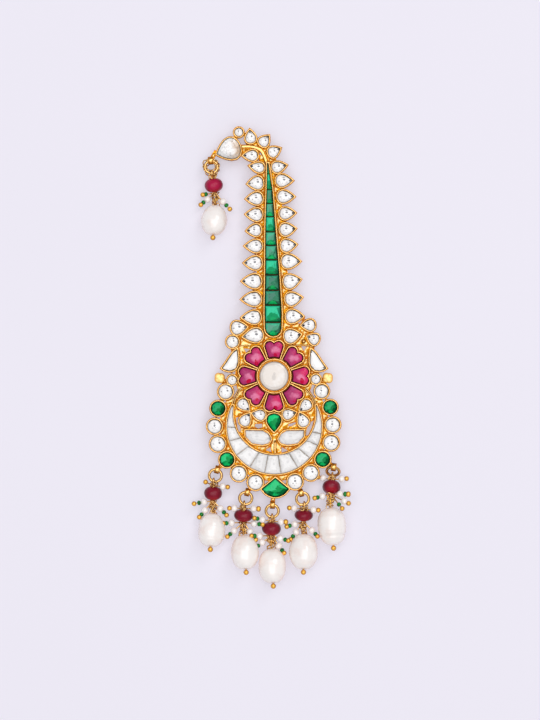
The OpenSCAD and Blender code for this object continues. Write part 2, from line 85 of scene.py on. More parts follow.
# A place on a stone that no grey reflection reaches
NO_DOTS = 9.0
# Rings of a domed stone, as shares of its outline
DOME_RINGS = [1.0, 0.96, 0.9, 0.8, 0.66, 0.5, 0.32, 0.14]

# A rim's section: share of the way from its inner to its outer edge, and height over the wall in crowns
RING_SECTION = [(0.0, -5.0), (0.0, -0.3), (0.07, 0.7), (0.18, 0.9), (0.27, 0.4), (0.32, -1.0), (0.37, -0.8),
                (0.46, 1.3), (0.6, 2.2), (0.78, 2.2), (0.93, 0.9), (1.0, -1.2), (1.02, -8.0)]
RIM_SECTION = [(0.0, -5.0), (0.0, -0.6), (0.12, 0.45), (0.38, 1.0), (0.66, 0.85), (0.9, 0.1), (1.0, -1.2),
               (1.04, -6.0)]

# Grey reflections on a white stone: across and up it from -1 to 1, radius, depth
DOTS = [(0.04, 0.5, 0.15, 0.6), (0.08, 0.14, 0.16, 1.1), (-0.38, -0.14, 0.11, 0.55), (0.34, -0.22, 0.1, 0.45),
        (-0.08, -0.5, 0.09, 0.3)]

# The bright curved band at the top, in millimetres, and half its width
RIDGE = [(-1.3, 61.6), (-1.7, 63.2), (-2.7, 65.4), (-4.3, 66.6), (-6.6, 67.15), (-9.5, 67.1)]
RIDGE_HALF = 0.6
# The bright gold bar between the two leaves
BAR = [(1.38, -26.3), (1.38, -27.6), (1.38, -29.0), (1.38, -30.2), (1.38, -31.2)]
KNOBS = [(-16.24, -6.5), (18.16, -6.5)]
# The lumps of a knob: across and up from its middle, radius, and lift over its top
LUMPS = [(0.0, 0.0, 1.5, 0.1), (-0.4, 0.45, 1.22, 0.2), (0.45, 0.35, 1.2, -0.1), (0.4, -0.45, 1.22, 0.1),
         (-0.45, -0.4, 1.2, -0.15)]
# The small gold bead on the right over the flower
BEAD = (10.5, 5.14)
# Thin bands that run from the side stones' tops over the flower
BROWS = [[(-13.0, 2.7), (-11.1, 3.5), (-8.5, 3.8), (-6.2, 3.7)], [(6.6, 3.6), (8.4, 3.9), (11.0, 3.9), (13.6, 3.3)]]
# Paired thin bands that carry the crescent's horns up to the flower
HORNS = [[(-12.0, -14.9), (-11.2, -12.4), (-9.7, -9.8)], [(14.2, -14.9), (13.1, -12.4), (11.2, -9.9)]]
# Tube lugs: place, bearing of the tube's axis, bearing of the stem that holds it
LUGS = [(-17.04, -35.7, 163, 45), (-7.44, -42.9, 165, 51), (0.56, -46.9, 178, 84), (9.66, -43.1, 195, 118),
        (20.06, -34.9, 172, 138), (-19.14, 62.7, 186, 60)]
LUG_Z = BACK_Z + 1.6

# Places tried for a pyramid are this far apart, and its foot has this many points
GRAIN_STEP, GRAIN_SIDES = 0.28, 12
# The bearing in degrees from which the pyramids are lit
LIGHT_BEARING = 120
# The dressed jump rings are this much thicker than the CAD's
RING_SWELL = 1.15
# Loose loops round the ring at the plume's tip, and below and above each ruby bead
TIP_LOOPS, LOOPS_BELOW, LOOPS_ABOVE = 11, 13, 6
# The pearls are this much wider than they are deep
PEARL_STRETCH = 1.05
# Depth of the fine growth rings round each pearl, as a share of its radius
RIPPLES = {1: 0.016, 2: 0.008, 3: 0.006, 4: 0.01, 5: 0.018, 6: 0.006}
# A seed wire's points lie between these distances from the drop's axis and from the wire's start
WIRE_FROM, WIRE_TO = 1.9, 8.0
# They start at most this far behind the ruby's middle, and the shortest wire reaches this far
WIRE_BACK, WIRE_LEAST = 1.2, 2.4
# Two wires' bearings differ by more degrees than this, and a wire's end is this deep
WIRE_TURN, WIRE_END = 6.0, 0.25
# Radius of the gold balls and of the green seeds, in millimetres
BALL_RADIUS, GREEN_RADIUS = 0.8, 0.74
# Drops whose wire without a pearl ends in a gold ball alone
BARE_BALLS = {1}

# The square lamps: name, place and side in metres, and colour
LAMPS = [("key", (0.55, 0.75, 1.0), 0.5, (1.0, 0.99, 0.97)), ("roof", (0.0, 0.05, 1.2), 1.2, (0.99, 0.98, 1.0)),
         ("low_fill", (0.2, -1.1, 0.7), 0.7, (1.0, 0.98, 0.97))]
# Half the floor's side and its drop under the brooch, in metres
FLOOR_HALF, FLOOR_DROP = 6.0, 0.0001
# Share of the floor's light that is its own
OWN_LIGHT = 0.45


def linear(code):
    """A colour code such as C8641E as the linear values that shaders take."""
    parts = [int(code[i:i + 2], 16) / 255 for i in (0, 2, 4)]
    return tuple(p / 12.92 if p <= 0.04045 else ((p + 0.055) / 1.055) ** 2.4 for p in parts)


def size(name, text, default, low=0.0, high=20.0):
    """A length in millimetres that a user can change."""
    return FloatProperty(name=name, description=text, default=default, min=low, max=high, precision=3)


def shade(name, text, code):
    """A colour that a user can change."""
    return FloatVectorProperty(name=name, description=text, default=linear(code), subtype="COLOR",
                               min=0.0, max=1.0, size=3)


class KALGI_PG_gold(bpy.types.PropertyGroup):
    """Sizes and colours of the metal."""
    # Painted highlight: gold_finish gives this where the metal looks up
    pale: shade("Pale gold", "Metal that looks up", "F2C47A")
    # Painted shade on the slopes, between the highlight and the steep sides; also the plate's top
    warm: shade("Warm gold", "Slopes of the metal", "D4861C")
    # Painted shade: the plate's colour down between the settings
    deep: shade("Deep gold", "Metal down between the settings", "AA5406")
    # Brighter patches down between the settings, the colour of the plate's painted glow, and the unlit side of the
    # pyramids and knobs
    orange: shade("Orange gold", "Brighter patches down there", "F4A608")
    # Painted shade on steep sides, and brown patches down between the settings
    brown: shade("Brown gold", "Steep sides of the metal", "743C08")
    # Painted highlight and glow on the lit side of the pyramids and knobs
    yellow: shade("Yellow gold", "Tops of the pyramids and bars", "FFEBA4")
    # The balls' colour where they look up, with painted shade below it
    ball: shade("Ball gold", "Gold balls and knobs", "FFC24E")
    rim_in: size("Rim's lap", "How far the rim laps over its pocket in mm", 0.06)
    rim_out: size("Rim's outer edge", "Distance from the pocket in mm", 0.5)
    rim_rise: size("Rim's crown", "Height over the plate's walls in mm", 0.16)
    ring_out: size("Ring's outer edge", "Width of the ring round the centre stone in mm", 1.12)
    ring_notches: IntProperty(name="Ring's notches", description="Notches of the milled ring", default=64, min=8)
    unevenness: FloatProperty(name="Unevenness", description="How uneven the hand-pressed rims are",
                              default=0.35, min=0.0, max=1.0)
    grain_height: size("Grain height", "Height of the gold pyramids in mm", 0.5)
    grain_gap: size("Grain gap", "Bare recess between a pyramid and the rims in mm", 0.2)
    grain_least: size("Least grain", "Radius of the smallest gold pyramid in mm", 0.2)
    coil_wire: size("Coil wire", "Radius of the wire in the wraps in mm", 0.17)
    loop_radius: size("Loop radius", "Radius of the loose loops of wire in mm", 0.78)


class KALGI_PG_stones(bpy.types.PropertyGroup):
    """Colours of the stones and the beads."""
    white: shade("White stone", "Uncut white stones over foil", "FFFEFC")
    # Grey of the painted reflections (the dots), of painted shade near the stones' edges and of grey mottling
    white_shadow: shade("White stone's dots", "Grey reflections on them", "6E6E72")
    white_edge: shade("White stone's edge", "Shadow under the rim", "544828")
    black: shade("Tip spot", "Dark spot in a pear stone's tip", "14120E")
    beige: shade("Plume stone", "Warm side of the stone at the plume's tip", "D3B698")
    centre: shade("Centre stone", "The flower's pale centre stone", "EDE4DA")
    green_mint: shade("Mint emerald", "Facets that mirror the light", "34C898")
    green_grey: shade("Grey emerald", "Facets that mirror the sky", "5C9C84")
    green: shade("Emerald", "Body of the channel's emeralds", "04905A")
    green_leaf: shade("Leaf emerald", "Body of the other emeralds", "02883C")
    green_bright: shade("Bright emerald", "Light thrown to the far side", "0CC464")
    # Painted shade at the emeralds' edges and on facets that tilt away; also dark streaks and the seeds' dark patches
    green_dark: shade("Dark emerald", "Edges of the emeralds", "011A11")
    plum: shade("Plum petal", "Shaded side of the petals", "AC3068")
    rose: shade("Rose petal", "Lit side of the petals", "D83068")
    # Painted highlight: the pale fan on the petals
    petal_pale: shade("Pale petal", "Milky inside of the petals", "EA86AC")
    crimson: shade("Crimson petal", "Light thrown to the petals' far side", "C2003C")
    # Painted shade at the petals' edges
    maroon: shade("Maroon petal", "Edges of the petals", "260412")
    ruby: shade("Ruby bead", "Body of the ruby beads", "86102A")
    ruby_red: shade("Red ruby", "Light through the beads", "A60C22")
    ruby_pink: shade("Pink ruby", "The bead at the plume's tip", "B41446")
    ruby_dark: shade("Dark ruby", "Shadowed skin of the ruby beads", "4C0718")
    pearl: shade("Pearl", "Skin of the pearls", "FBF6F2")
    # Blush patches, and painted shade towards the pearls' sides
    pearl_blush: shade("Pearl's blush", "Cloudy patches on the pearls", "EFD2C6")
    seed_green: shade("Green seed", "Glass seeds on the wires", "0A8430")
    stone_seed: IntProperty(name="Seed", description="Start of the random draws", default=7, min=0)


class KALGI_PG_stage(bpy.types.PropertyGroup):
    """The floor, the lights and the camera."""
    floor: shade("Floor", "Pale floor", "F0EDF8")
    key_power: FloatProperty(name="Key light", description="Power in watts", default=2.6, min=0.0)
    roof_power: FloatProperty(name="Soft roof", description="Power in watts", default=9.4, min=0.0)
    fill_power: FloatProperty(name="Low fill", description="Power in watts", default=0.8, min=0.0)
    room: FloatProperty(name="Room light", description="Strength of the pale room round it", default=0.36, min=0.0)
    view_height: size("View height", "Height of the picture in mm", 230.4, 50.0, 600.0)
    view_x: FloatProperty(name="View X", description="Middle of the picture in mm", default=-0.22)
    view_y: FloatProperty(name="View Y", description="Middle of the picture in mm", default=-0.78)
    camera_height: FloatProperty(name="Camera height", description="Height over the floor", default=0.9,
                                 unit="LENGTH", min=0.3)


def gold_sizes():
    """The metal's sizes and colours as the user has them."""
    return bpy.context.scene.kalgi_gold


def stone_looks():
    """The colours of stones and beads as the user has them."""
    return bpy.context.scene.kalgi_stones


def stage_sizes():
    """The stage's values as the user has them."""
    return bpy.context.scene.kalgi_stage


# Outlines


def turn(a, b, c):
    """Degrees that a path turns at b."""
    u, v = b - a, c - b
    return abs(math.degrees(math.atan2(u[0] * v[1] - u[1] * v[0], float(u @ v))))


def curve_point(a, b, c, d, t):
    """A point between b and c, at the share t, on the smooth curve through a, b, c and d."""
    return 0.5 * (2 * b + (c - a) * t + (2 * a - 5 * b + 4 * c - d) * t ** 2 + (3 * b - a - 3 * c + d) * t ** 3)


def rounded(outline, parts=4):
    """The outline as a smooth closed curve that keeps its sharp corners."""
    count = len(outline)
    sharp = [turn(outline[i - 1], outline[i], outline[(i + 1) % count]) > CORNER for i in range(count)]
    made = []
    for i in range(count):
        b, c = outline[i], outline[(i + 1) % count]
        a = b if sharp[i] else outline[i - 1]
        d = c if sharp[(i + 1) % count] else outline[(i + 2) % count]
        made += [curve_point(a, b, c, d, k / parts) for k in range(parts)]
    return np.array(made)


def rounded_path(path, parts=5):
    """An open path with its bends made smooth."""
    path = [np.array(p, dtype=float) for p in path]
    made = []
    for i in range(len(path) - 1):
        a, b, c, d = path[max(i - 1, 0)], path[i], path[i + 1], path[min(i + 2, len(path) - 1)]
        made += [curve_point(a, b, c, d, k / parts) for k in range(parts)]
    return made + [path[-1]]


def resampled(outline, gap):
    """The closed outline with points about a gap apart, and its sharp corners kept."""
    made = []
    for i, a in enumerate(outline):
        b = outline[(i + 1) % len(outline)]
        steps = max(1, round(float(np.linalg.norm(b - a)) / gap))
        made += [a + (b - a) * k / steps for k in range(steps)]
    return np.array(made)


def outward(outline):
    """Unit normals that point out of an anticlockwise outline, longer at its corners."""
    before, after = np.roll(outline, 1, axis=0), np.roll(outline, -1, axis=0)
    u, v = outline - before, after - outline
    u = u / np.linalg.norm(u, axis=1)[:, None]
    v = v / np.linalg.norm(v, axis=1)[:, None]
    n = np.stack([u[:, 1] + v[:, 1], -u[:, 0] - v[:, 0]], axis=1)
    n /= np.maximum(np.linalg.norm(n, axis=1), 0.3)[:, None]
    square = np.maximum((n * np.stack([v[:, 1], -v[:, 0]], axis=1)).sum(axis=1), 0.6)
    return n / square[:, None]


def area(outline):
    """Area inside an outline, above 0 where it runs anticlockwise."""
    x, y = outline[:, 0], outline[:, 1]
    return float((x * np.roll(y, -1) - y * np.roll(x, -1)).sum()) / 2


def middle(outline):
    """Centroid of the area inside an outline."""
    x, y = outline[:, 0], outline[:, 1]
    cross = x * np.roll(y, -1) - y * np.roll(x, -1)
    return np.array([((x + np.roll(x, -1)) * cross).sum(), ((y + np.roll(y, -1)) * cross).sum()]) / (3 * cross.sum())


def half_width(outline):
    """Distance from the outline's middle to its nearest edge point."""
    return float(np.linalg.norm(outline - middle(outline), axis=1).min())


def clusters(node):
    """The loose solids of a CAD node: one list of welded vertices each, in a steady order."""
    mesh = bmesh.new()
    mesh.from_mesh(NODES[node].data)
    bmesh.ops.scale(mesh, vec=(MM, MM, MM), verts=mesh.verts)
    bmesh.ops.remove_doubles(mesh, verts=mesh.verts, dist=WELD)
    mesh.verts.ensure_lookup_table()
    seen, found = set(), []
    for start in mesh.verts:
        if start.index in seen:
            continue
        stack, island = [start], []
        seen.add(start.index)
        while stack:
            v = stack.pop()
            island.append(v)
            for edge in v.link_edges:
                other = edge.other_vert(v)
                if other.index not in seen:
                    seen.add(other.index)
                    stack.append(other)
        found.append(island)
    found.sort(key=lambda vs: (round(-max(v.co.y for v in vs), 2), round(min(v.co.x for v in vs), 2)))
    return mesh, found


class Stone:
    """A set stone: its smooth outline in millimetres, its lowest and highest point and its CAD node."""

    def __init__(self, node, outline, low, high):
        self.node, self.low, self.high = node, low, high
        self.outline = rounded(outline if area(outline) > 0 else outline[::-1])
        self.centre = middle(self.outline)
        self.half = half_width(self.outline)
        count = len(outline)
        corners = [p for i, p in enumerate(outline) if turn(outline[i - 1], p, outline[(i + 1) % count]) > CORNER]
        self.tip = corners[0] if len(corners) == 1 else None
        self.dotted = len(corners) < 2

    def tips(self, points):
        """Each point's distance from the stone's pointed tip, along and beside its axis, and 1 for such a stone."""
        if self.tip is None:
            return [(0.0, 0.0, 0.0)] * len(points)
        axis = (self.centre - self.tip) / np.linalg.norm(self.centre - self.tip)
        return [((p[0] - self.tip[0]) * axis[0] + (p[1] - self.tip[1]) * axis[1],
                 (p[1] - self.tip[1]) * axis[0] - (p[0] - self.tip[0]) * axis[1], 1.0) for p in points]


def stones_of(node):
    """Every stone of a CAD node, from the loop of edges round each girdle."""
    mesh, found = clusters(node)
    stones = []
    for island in found:
        low, high = min(v.co.z for v in island), max(v.co.z for v in island)
        girdle = {v for v in island if abs(v.co.z - (low + high) / 2) < GIRDLE}
        path = [min(girdle, key=lambda v: (v.co.x, v.co.y))]
        while True:
            ahead = [e.other_vert(path[-1]) for e in path[-1].link_edges]
            ahead = [v for v in ahead if v in girdle and v not in path]
            if not ahead:
                break
            path.append(min(ahead, key=lambda v: (v.co - path[-1].co).length))
        stones.append(Stone(node, np.array([v.co.xy for v in path]), low, high))
    mesh.free()
    return stones


class Shaft:
    """A turned bead: its middle, its axis (up the drop), its radius and its length, in millimetres."""

    def __init__(self, island):
        points = np.array([v.co for v in island])
        centre = (points.max(axis=0) + points.min(axis=0)) / 2
        values, vectors = np.linalg.eigh(np.cov((points - points.mean(axis=0)).T))
        odd = int(np.argmax([min(abs(values[i] - values[j]) for j in range(3) if j != i) for i in range(3)]))
        axis = vectors[:, odd] * (1 if vectors[1, odd] > 0 else -1)
        along = (points - centre) @ axis
        self.centre = centre + axis * (along.max() + along.min()) / 2
        self.axis = axis
        self.length = float(along.max() - along.min())
        self.radius = float(np.linalg.norm(points - self.centre - np.outer((points - self.centre) @ axis, axis),
                                           axis=1).max())


def shafts_of(node):
    """Every bead of a CAD node."""
    mesh, found = clusters(node)
    made = [Shaft(island) for island in found]
    mesh.free()
    return made


def points_of(node):
    """The points of a CAD node's one solid, in millimetres."""
    mesh, found = clusters(node)
    points = np.array([v.co for v in found[0]])
    mesh.free()
    return points


def ring_of(node):
    """A jump ring's middle, two directions in its plane, its radius and half its wire's thickness."""
    points = points_of(node)
    centre = (points.max(axis=0) + points.min(axis=0)) / 2
    u, v = cross_axes(np.linalg.eigh(np.cov((points - centre).T))[1][:, 0])
    reach = np.linalg.norm(points - centre, axis=1)
    return Vector(centre), u, v, float(reach.max() + reach.min()) / 2, float(reach.max() - reach.min()) / 2


def frame_tree():
    """The gold frame's faces, for finding its height with a ray."""
    return BVHTree.FromObject(NODES["frame"], bpy.context.evaluated_depsgraph_get())


def top_of(tree, x, y, least_level=0.0):
    """Height in millimetres of the frame at a place, or None over a gap or where it slopes too much."""
    hit, normal = tree.ray_cast(Vector((x / MM, y / MM, 0.05)), Vector((0, 0, -1)))[:2]
    return hit.z * MM if hit and normal.z >= least_level else None


def steady_noise(x, y, z, scale=1.0):
    """Smooth noise from -1 to 1 that is the same on each run."""
    return noise.noise(Vector((x * scale, y * scale, z * scale)))


# Meshes


class Build:
    """Points in millimetres and faces that become one object, with what its material reads."""

    def __init__(self):
        self.points, self.faces, self.smooth = [], [], []
        self.edge, self.spot, self.tip = [], [], []

    def add(self, points, faces, smooth=True, edge=None, spot=None, tip=None):
        """Adds one closed shape."""
        start = len(self.points)
        self.points += [tuple(float(v) for v in p) for p in points]
        self.faces += [tuple(start + i for i in f) for f in faces]
        self.smooth += [smooth] * len(faces)
        self.edge += list(edge) if edge is not None else [1.0] * len(points)
        self.spot += [tuple(s) for s in spot] if spot is not None else [(0.0, 0.0, 0.0)] * len(points)
        self.tip += list(tip) if tip is not None else [(0.0, 0.0, 0.0)] * len(points)

    def make(self, name, material, slot, replaces=()):
        """Makes the object, rides it on the brooch and hides the CAD nodes that it replaces."""
        mesh = bpy.data.meshes.new(name)
        mesh.from_pydata([tuple(c / MM for c in p) for p in self.points], [], self.faces)
        mesh.polygons.foreach_set("use_smooth", self.smooth)
        mesh.attributes.new("edge", "FLOAT", "POINT").data.foreach_set("value", self.edge)
        for kind, rows in (("spot", self.spot), ("tip", self.tip)):
            mesh.attributes.new(kind, "FLOAT_VECTOR", "POINT").data.foreach_set(
                "vector", [c for row in rows for c in row])
        mesh.materials.append(material)
        mesh.validate()
        made = bpy.data.objects.new(name, mesh)
        bpy.context.scene.collection.objects.link(made)
        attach(made, "root")
        if replaces:
            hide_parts(*replaces)
        return made


def bands(rows, around, closed_rows=True):
    """Faces between rows of points that all have the same number of points."""
    faces = []
    for r in range(rows - 1):
        for i in range(around if closed_rows else around - 1):
            j = (i + 1) % around
            faces.append((r * around + i, r * around + j, (r + 1) * around + j, (r + 1) * around + i))
    return faces


def shares(loop):
    """How far round its loop each point lies, from 0 to 1."""
    steps = np.linalg.norm(np.roll(loop, -1, axis=0) - loop, axis=1)
    return np.concatenate([[0], np.cumsum(steps)[:-1]]) / steps.sum()


def stitch(outer, inner, outer_share, inner_share):
    """Triangles between two closed loops of point numbers that start at the same side."""
    faces, i, k = [], 0, 0
    n, m = len(outer), len(inner)
    while i < n or k < m:
        next_outer = outer_share[i + 1] if i + 1 < n else 1.0
        next_inner = inner_share[k + 1] if k + 1 < m else 1.0
        if k >= m or (i < n and next_outer <= next_inner):
            faces.append((outer[i % n], outer[(i + 1) % n], inner[k % m]))
            i += 1
        else:
            faces.append((outer[i % n], inner[(k + 1) % m], inner[k % m]))
            k += 1
    return faces


def arm(u, v, a):
    """The direction at an angle between two directions."""
    return math.cos(a) * u + math.sin(a) * v


def heading(bearing):
    """The flat direction at a bearing in degrees."""
    return Vector((math.cos(math.radians(bearing)), math.sin(math.radians(bearing)), 0.0))


def tube(path, radius, sides=8, closed=False):
    """Points and faces of a wire along a path in millimetres."""
    path = [Vector(p) for p in path]
    count = len(path)
    rows, normal = [], None
    for i, p in enumerate(path):
        ahead = path[(i + 1) % count] if closed or i + 1 < count else p
        behind = path[i - 1] if closed or i > 0 else p
        along = (ahead - behind).normalized()
        if normal is None:
            normal = along.orthogonal().normalized()
        normal = (normal - along * normal.dot(along)).normalized()
        side = along.cross(normal)
        rows.append([p + radius * arm(normal, side, 2 * math.pi * k / sides) for k in range(sides)])
    points = [p for row in rows for p in row]
    faces = bands(count, sides)
    if closed:
        faces += [((count - 1) * sides + i, (count - 1) * sides + (i + 1) % sides, (i + 1) % sides, i)
                  for i in range(sides)]
    else:
        faces += [tuple(reversed(range(sides))), tuple((count - 1) * sides + i for i in range(sides))]
    return points, faces


def cross_axes(axis):
    """Two unit directions square to an axis."""
    axis = Vector(axis).normalized()
    u = axis.orthogonal().normalized()
    return u, axis.cross(u)


def ball(centre, axis, half_length, radius, rows=14, around=20, power=1.0, dent=None):
    """A round or squashed bead about an axis, with what Build.add takes."""
    u, v = cross_axes(axis)
    centre, axis = Vector(centre), Vector(axis)
    points, spot = [], []
    for k in range(rows + 1):
        rise = math.pi * (k / rows - 0.5) * 0.985
        along, wide = half_length * math.sin(rise), radius * math.cos(rise) ** power
        for i in range(around):
            a = 2 * math.pi * i / around
            r = wide * (1 + (dent(along, a) if dent else 0))
            out = arm(u, v, a)
            points.append(centre + axis * along + r * out)
            spot.append((r * out.x / radius, along / half_length, r * out.z / radius))
    faces = bands(rows + 1, around)
    faces += [tuple(reversed(range(around))), tuple(rows * around + i for i in range(around))]
    return points, faces, True, None, spot


def turned_tube(centre, axis, half, bore, radius, around=24):
    """A short tube with rounded ends about an axis."""
    u, v = cross_axes(axis)
    section = [(-half * 0.8, bore), (-half, bore + 0.12), (-half, radius - 0.2), (-half * 0.75, radius),
               (half * 0.75, radius), (half, radius - 0.2), (half, bore + 0.12), (half * 0.8, bore)]
    points = [centre + axis * along + r * arm(u, v, math.tau * k / around)
              for along, r in section for k in range(around)]
    last = (len(section) - 1) * around
    return points, bands(len(section), around) + [
        (last + k, last + (k + 1) % around, (k + 1) % around, k) for k in range(around)]


def strip(path, half, base, crown, sides=6):
    """A rounded gold bar along a flat path, with what Build.add takes."""
    path = [np.array(p) for p in path]
    points = []
    for i, p in enumerate(path):
        along = path[min(i + 1, len(path) - 1)] - path[max(i - 1, 0)]
        along = along / np.linalg.norm(along)
        taper = 0.55 if i in (0, len(path) - 1) else 1.0
        for k in range(sides + 1):
            a = math.pi * k / sides
            reach = half * taper * math.cos(a)
            points.append((p[0] - along[1] * reach, p[1] + along[0] * reach, base + crown * math.sin(a)))
    faces = bands(len(path), sides + 1)
    last = (len(path) - 1) * (sides + 1)
    faces += [tuple(reversed(range(sides + 1))), tuple(last + k for k in range(sides + 1))]
    return points, faces


# Materials


class Value:
    """A number or vector that a material works out, so that sums read as Python."""

    def __init__(self, finish, socket):
        self.finish, self.socket = finish, socket

    def sum(self, operation, *others):
        """This value and others through one Math node."""
        values = {i: other for i, other in enumerate((self,) + others)}
        return self.finish.node("ShaderNodeMath", {"operation": operation}, values)

    def __add__(self, other):
        return self.sum("ADD", other)

    def __sub__(self, other):
        return self.sum("SUBTRACT", other)

    def __mul__(self, other):
        return self.sum("MULTIPLY", other)

    def __rsub__(self, other):
        return self.finish.node("ShaderNodeMath", {"operation": "SUBTRACT"}, {0: other, 1: self})

    __radd__ = __add__
    __rmul__ = __mul__

    def clamped(self):
        """The value held between 0 and 1."""
        return self.finish.node("ShaderNodeClamp", {}, {"Value": self})

    def above(self, low, high):
        """0 below low, 1 above high and smooth between."""
        return self.finish.node("ShaderNodeMapRange", {"interpolation_type": "SMOOTHSTEP"},
                                {"Value": self, "From Min": low, "From Max": high})

    def below(self, low, high):
        """1 below low, 0 above high and smooth between."""
        return 1 - self.above(low, high)

    def squared(self):
        """The value times itself."""
        return self * self

    def size(self):
        """The value without its sign."""
        return self.sum("ABSOLUTE")


class Finish:
    """A material in the making. Textures are laid out in millimetres of the brooch."""

    def __init__(self, name):
        self.material = bpy.data.materials.new(name)
        self.material.use_nodes = True
        self.tree = self.material.node_tree
        self.tree.nodes.clear()
        self.place = self.node("ShaderNodeVectorMath", {"operation": "SCALE"},
                               {0: self.node("ShaderNodeTexCoord", {}, {}, "Object"), "Scale": MM})

    def node(self, kind, settings, sockets, output=0):
        """Adds a node: its settings first, then its sockets' values or links. Returns one output."""
        made = self.tree.nodes.new(kind)
        for key, value in settings.items():
            setattr(made, key, value)
        for key, value in sockets.items():
            if isinstance(value, Value):
                self.tree.links.new(value.socket, made.inputs[key])
            else:
                made.inputs[key].default_value = value
        return Value(self, made.outputs[output]) if len(made.outputs) else None

    def mix(self, factor, first, second):
        """A colour between two colours."""
        pair = [c if isinstance(c, Value) else (*c, 1.0) for c in (first, second)]
        return self.node("ShaderNodeMix", {"data_type": "RGBA"}, {0: factor, 6: pair[0], 7: pair[1]}, 2)

    def noise(self, scale, detail=2.0, rough=0.5, stretch=None):
        """Cloudy noise from 0 to 1, finer with a larger scale."""
        place = self.place if stretch is None else self.node(
            "ShaderNodeVectorMath", {"operation": "MULTIPLY"}, {0: self.place, 1: stretch})
        return self.node("ShaderNodeTexNoise", {}, {"Vector": place, "Scale": scale, "Detail": detail,
                                                    "Roughness": rough})

    def parts(self, vector):
        """The X, Y and Z of a vector."""
        x = self.node("ShaderNodeSeparateXYZ", {}, {0: vector})
        outputs = x.socket.node.outputs
        return [Value(self, outputs[i]) for i in range(3)]

    def edge(self):
        """0 at a stone's edge and 1 at its middle."""
        return self.node("ShaderNodeAttribute", {"attribute_name": "edge"}, {}, "Fac")

    def spot(self):
        """Where a point lies on its stone: across and up it, from -1 to 1, and a number of the stone's own."""
        return self.parts(self.node("ShaderNodeAttribute", {"attribute_name": "spot"}, {}, "Vector"))

    def tip(self):
        """Distance along and beside the axis from a pointed stone's tip, in millimetres, and 1 on such stones."""
        return self.parts(self.node("ShaderNodeAttribute", {"attribute_name": "tip"}, {}, "Vector"))

    def normal(self):
        """How far a surface looks right, up the brooch, and up from the floor."""
        return self.parts(self.node("ShaderNodeNewGeometry", {}, {}, "Normal"))

    def facing(self):
        """1 where a surface looks straight up, 0 where it is upright."""
        return self.normal()[2]

    def surface(self, colour, roughness, metal=0.0, height=None, depth=0.02, **fixed):
        """Ends the material: what varies goes to colour, roughness, metal, bump and emission colour, and fixed
        numbers to the rest.
        """
        sockets = {"Base Color": colour, "Roughness": roughness, "Metallic": metal}
        if height is not None:
            sockets["Normal"] = self.node("ShaderNodeBump", {}, {
                "Strength": 1.0, "Distance": depth / MM, "Height": height})
        names = {"coat": "Coat Weight", "coat_roughness": "Coat Roughness", "ior": "IOR",
                 "specular": "Specular IOR Level", "glow": "Emission Strength"}
        sockets.update({names[key]: value for key, value in fixed.items() if key in names})
        if "emission" in fixed:
            sockets["Emission Color"] = fixed["emission"]
        shader = self.node("ShaderNodeBsdfPrincipled", {}, {
            key: (*value, 1.0) if isinstance(value, tuple) and len(value) == 3 else value
            for key, value in sockets.items()})
        self.node("ShaderNodeOutputMaterial", {}, {"Surface": shader})
        return self.material


def recess_finish():
    """The plate with painted shade: deep orange with brighter orange and brown patches down between the settings,
    warm on top, brown where it is steep, and a faint painted orange glow.
    """
    g = gold_sizes()
    f = Finish("plate_gold")
    height = f.parts(f.place)[2]
    cloud, fine = f.noise(0.8, 3.0), f.noise(4.0, 3.0, 0.6)
    low = f.mix(cloud.above(0.45, 0.62), g.deep, g.orange)
    low = f.mix(fine.above(0.42, 0.62) * 0.75, low, g.brown)
    # Painted shade: the deep low colour down between the settings, warm on top
    colour = f.mix(height.above(4.7, 5.25), low, g.warm)
    # Painted shade in brown where the plate is steep, and a faint painted glow in orange
    return f.surface(f.mix(f.facing().below(0.2, 0.6) * 0.6, colour, g.brown), 0.3 + fine * 0.24, 0.85,
                     cloud * 2.0 + fine, 0.05, glow=0.12, emission=tuple(g.orange))


def gold_finish(name, top, steep=0.8, metal=0.85):
    """Gold with painted light: the top colour as a painted highlight where it looks up, warm painted shade on its
    slopes and brown painted shade where it is steep.
    """
    g = gold_sizes()
    f = Finish(name)
    cloud, fine = f.noise(0.9, 3.0), f.noise(6.0, 3.0, 0.6)
    up = (f.facing() + (cloud - 0.5) * 0.4).clamped()
    # Painted shade in brown and warm on faces that tilt away from up, painted highlight in the top colour on faces
    # that look up
    colour = f.mix(up.above(steep * 0.35, steep), g.brown, g.warm)
    colour = f.mix(up.above(steep, steep + 0.2), colour, top)
    return f.surface(colour, 0.15 + fine * 0.18, metal, cloud + fine * 0.4, 0.02)


def bright_finish(name):
    """Pyramids and knobs: yellow where they are lit and orange elsewhere."""
    g = gold_sizes()
    f = Finish(name)
    cloud, fine = f.noise(1.1, 3.0), f.noise(6.0, 2.0)
    lit = f.spot()[0]
    bright = (f.edge() + (cloud - 0.5) * 0.9).above(0.0, 0.25) * lit.above(0.2, 0.8)
    # Painted highlight glows yellow where lit; elsewhere a faint painted orange glow
    return f.surface(f.mix(bright, g.orange, g.yellow), 0.3 + fine * 0.15, 0.25, fine, 0.02, glow=0.6,
                     emission=f.mix(bright, tuple(0.1 * c for c in g.orange), g.yellow))


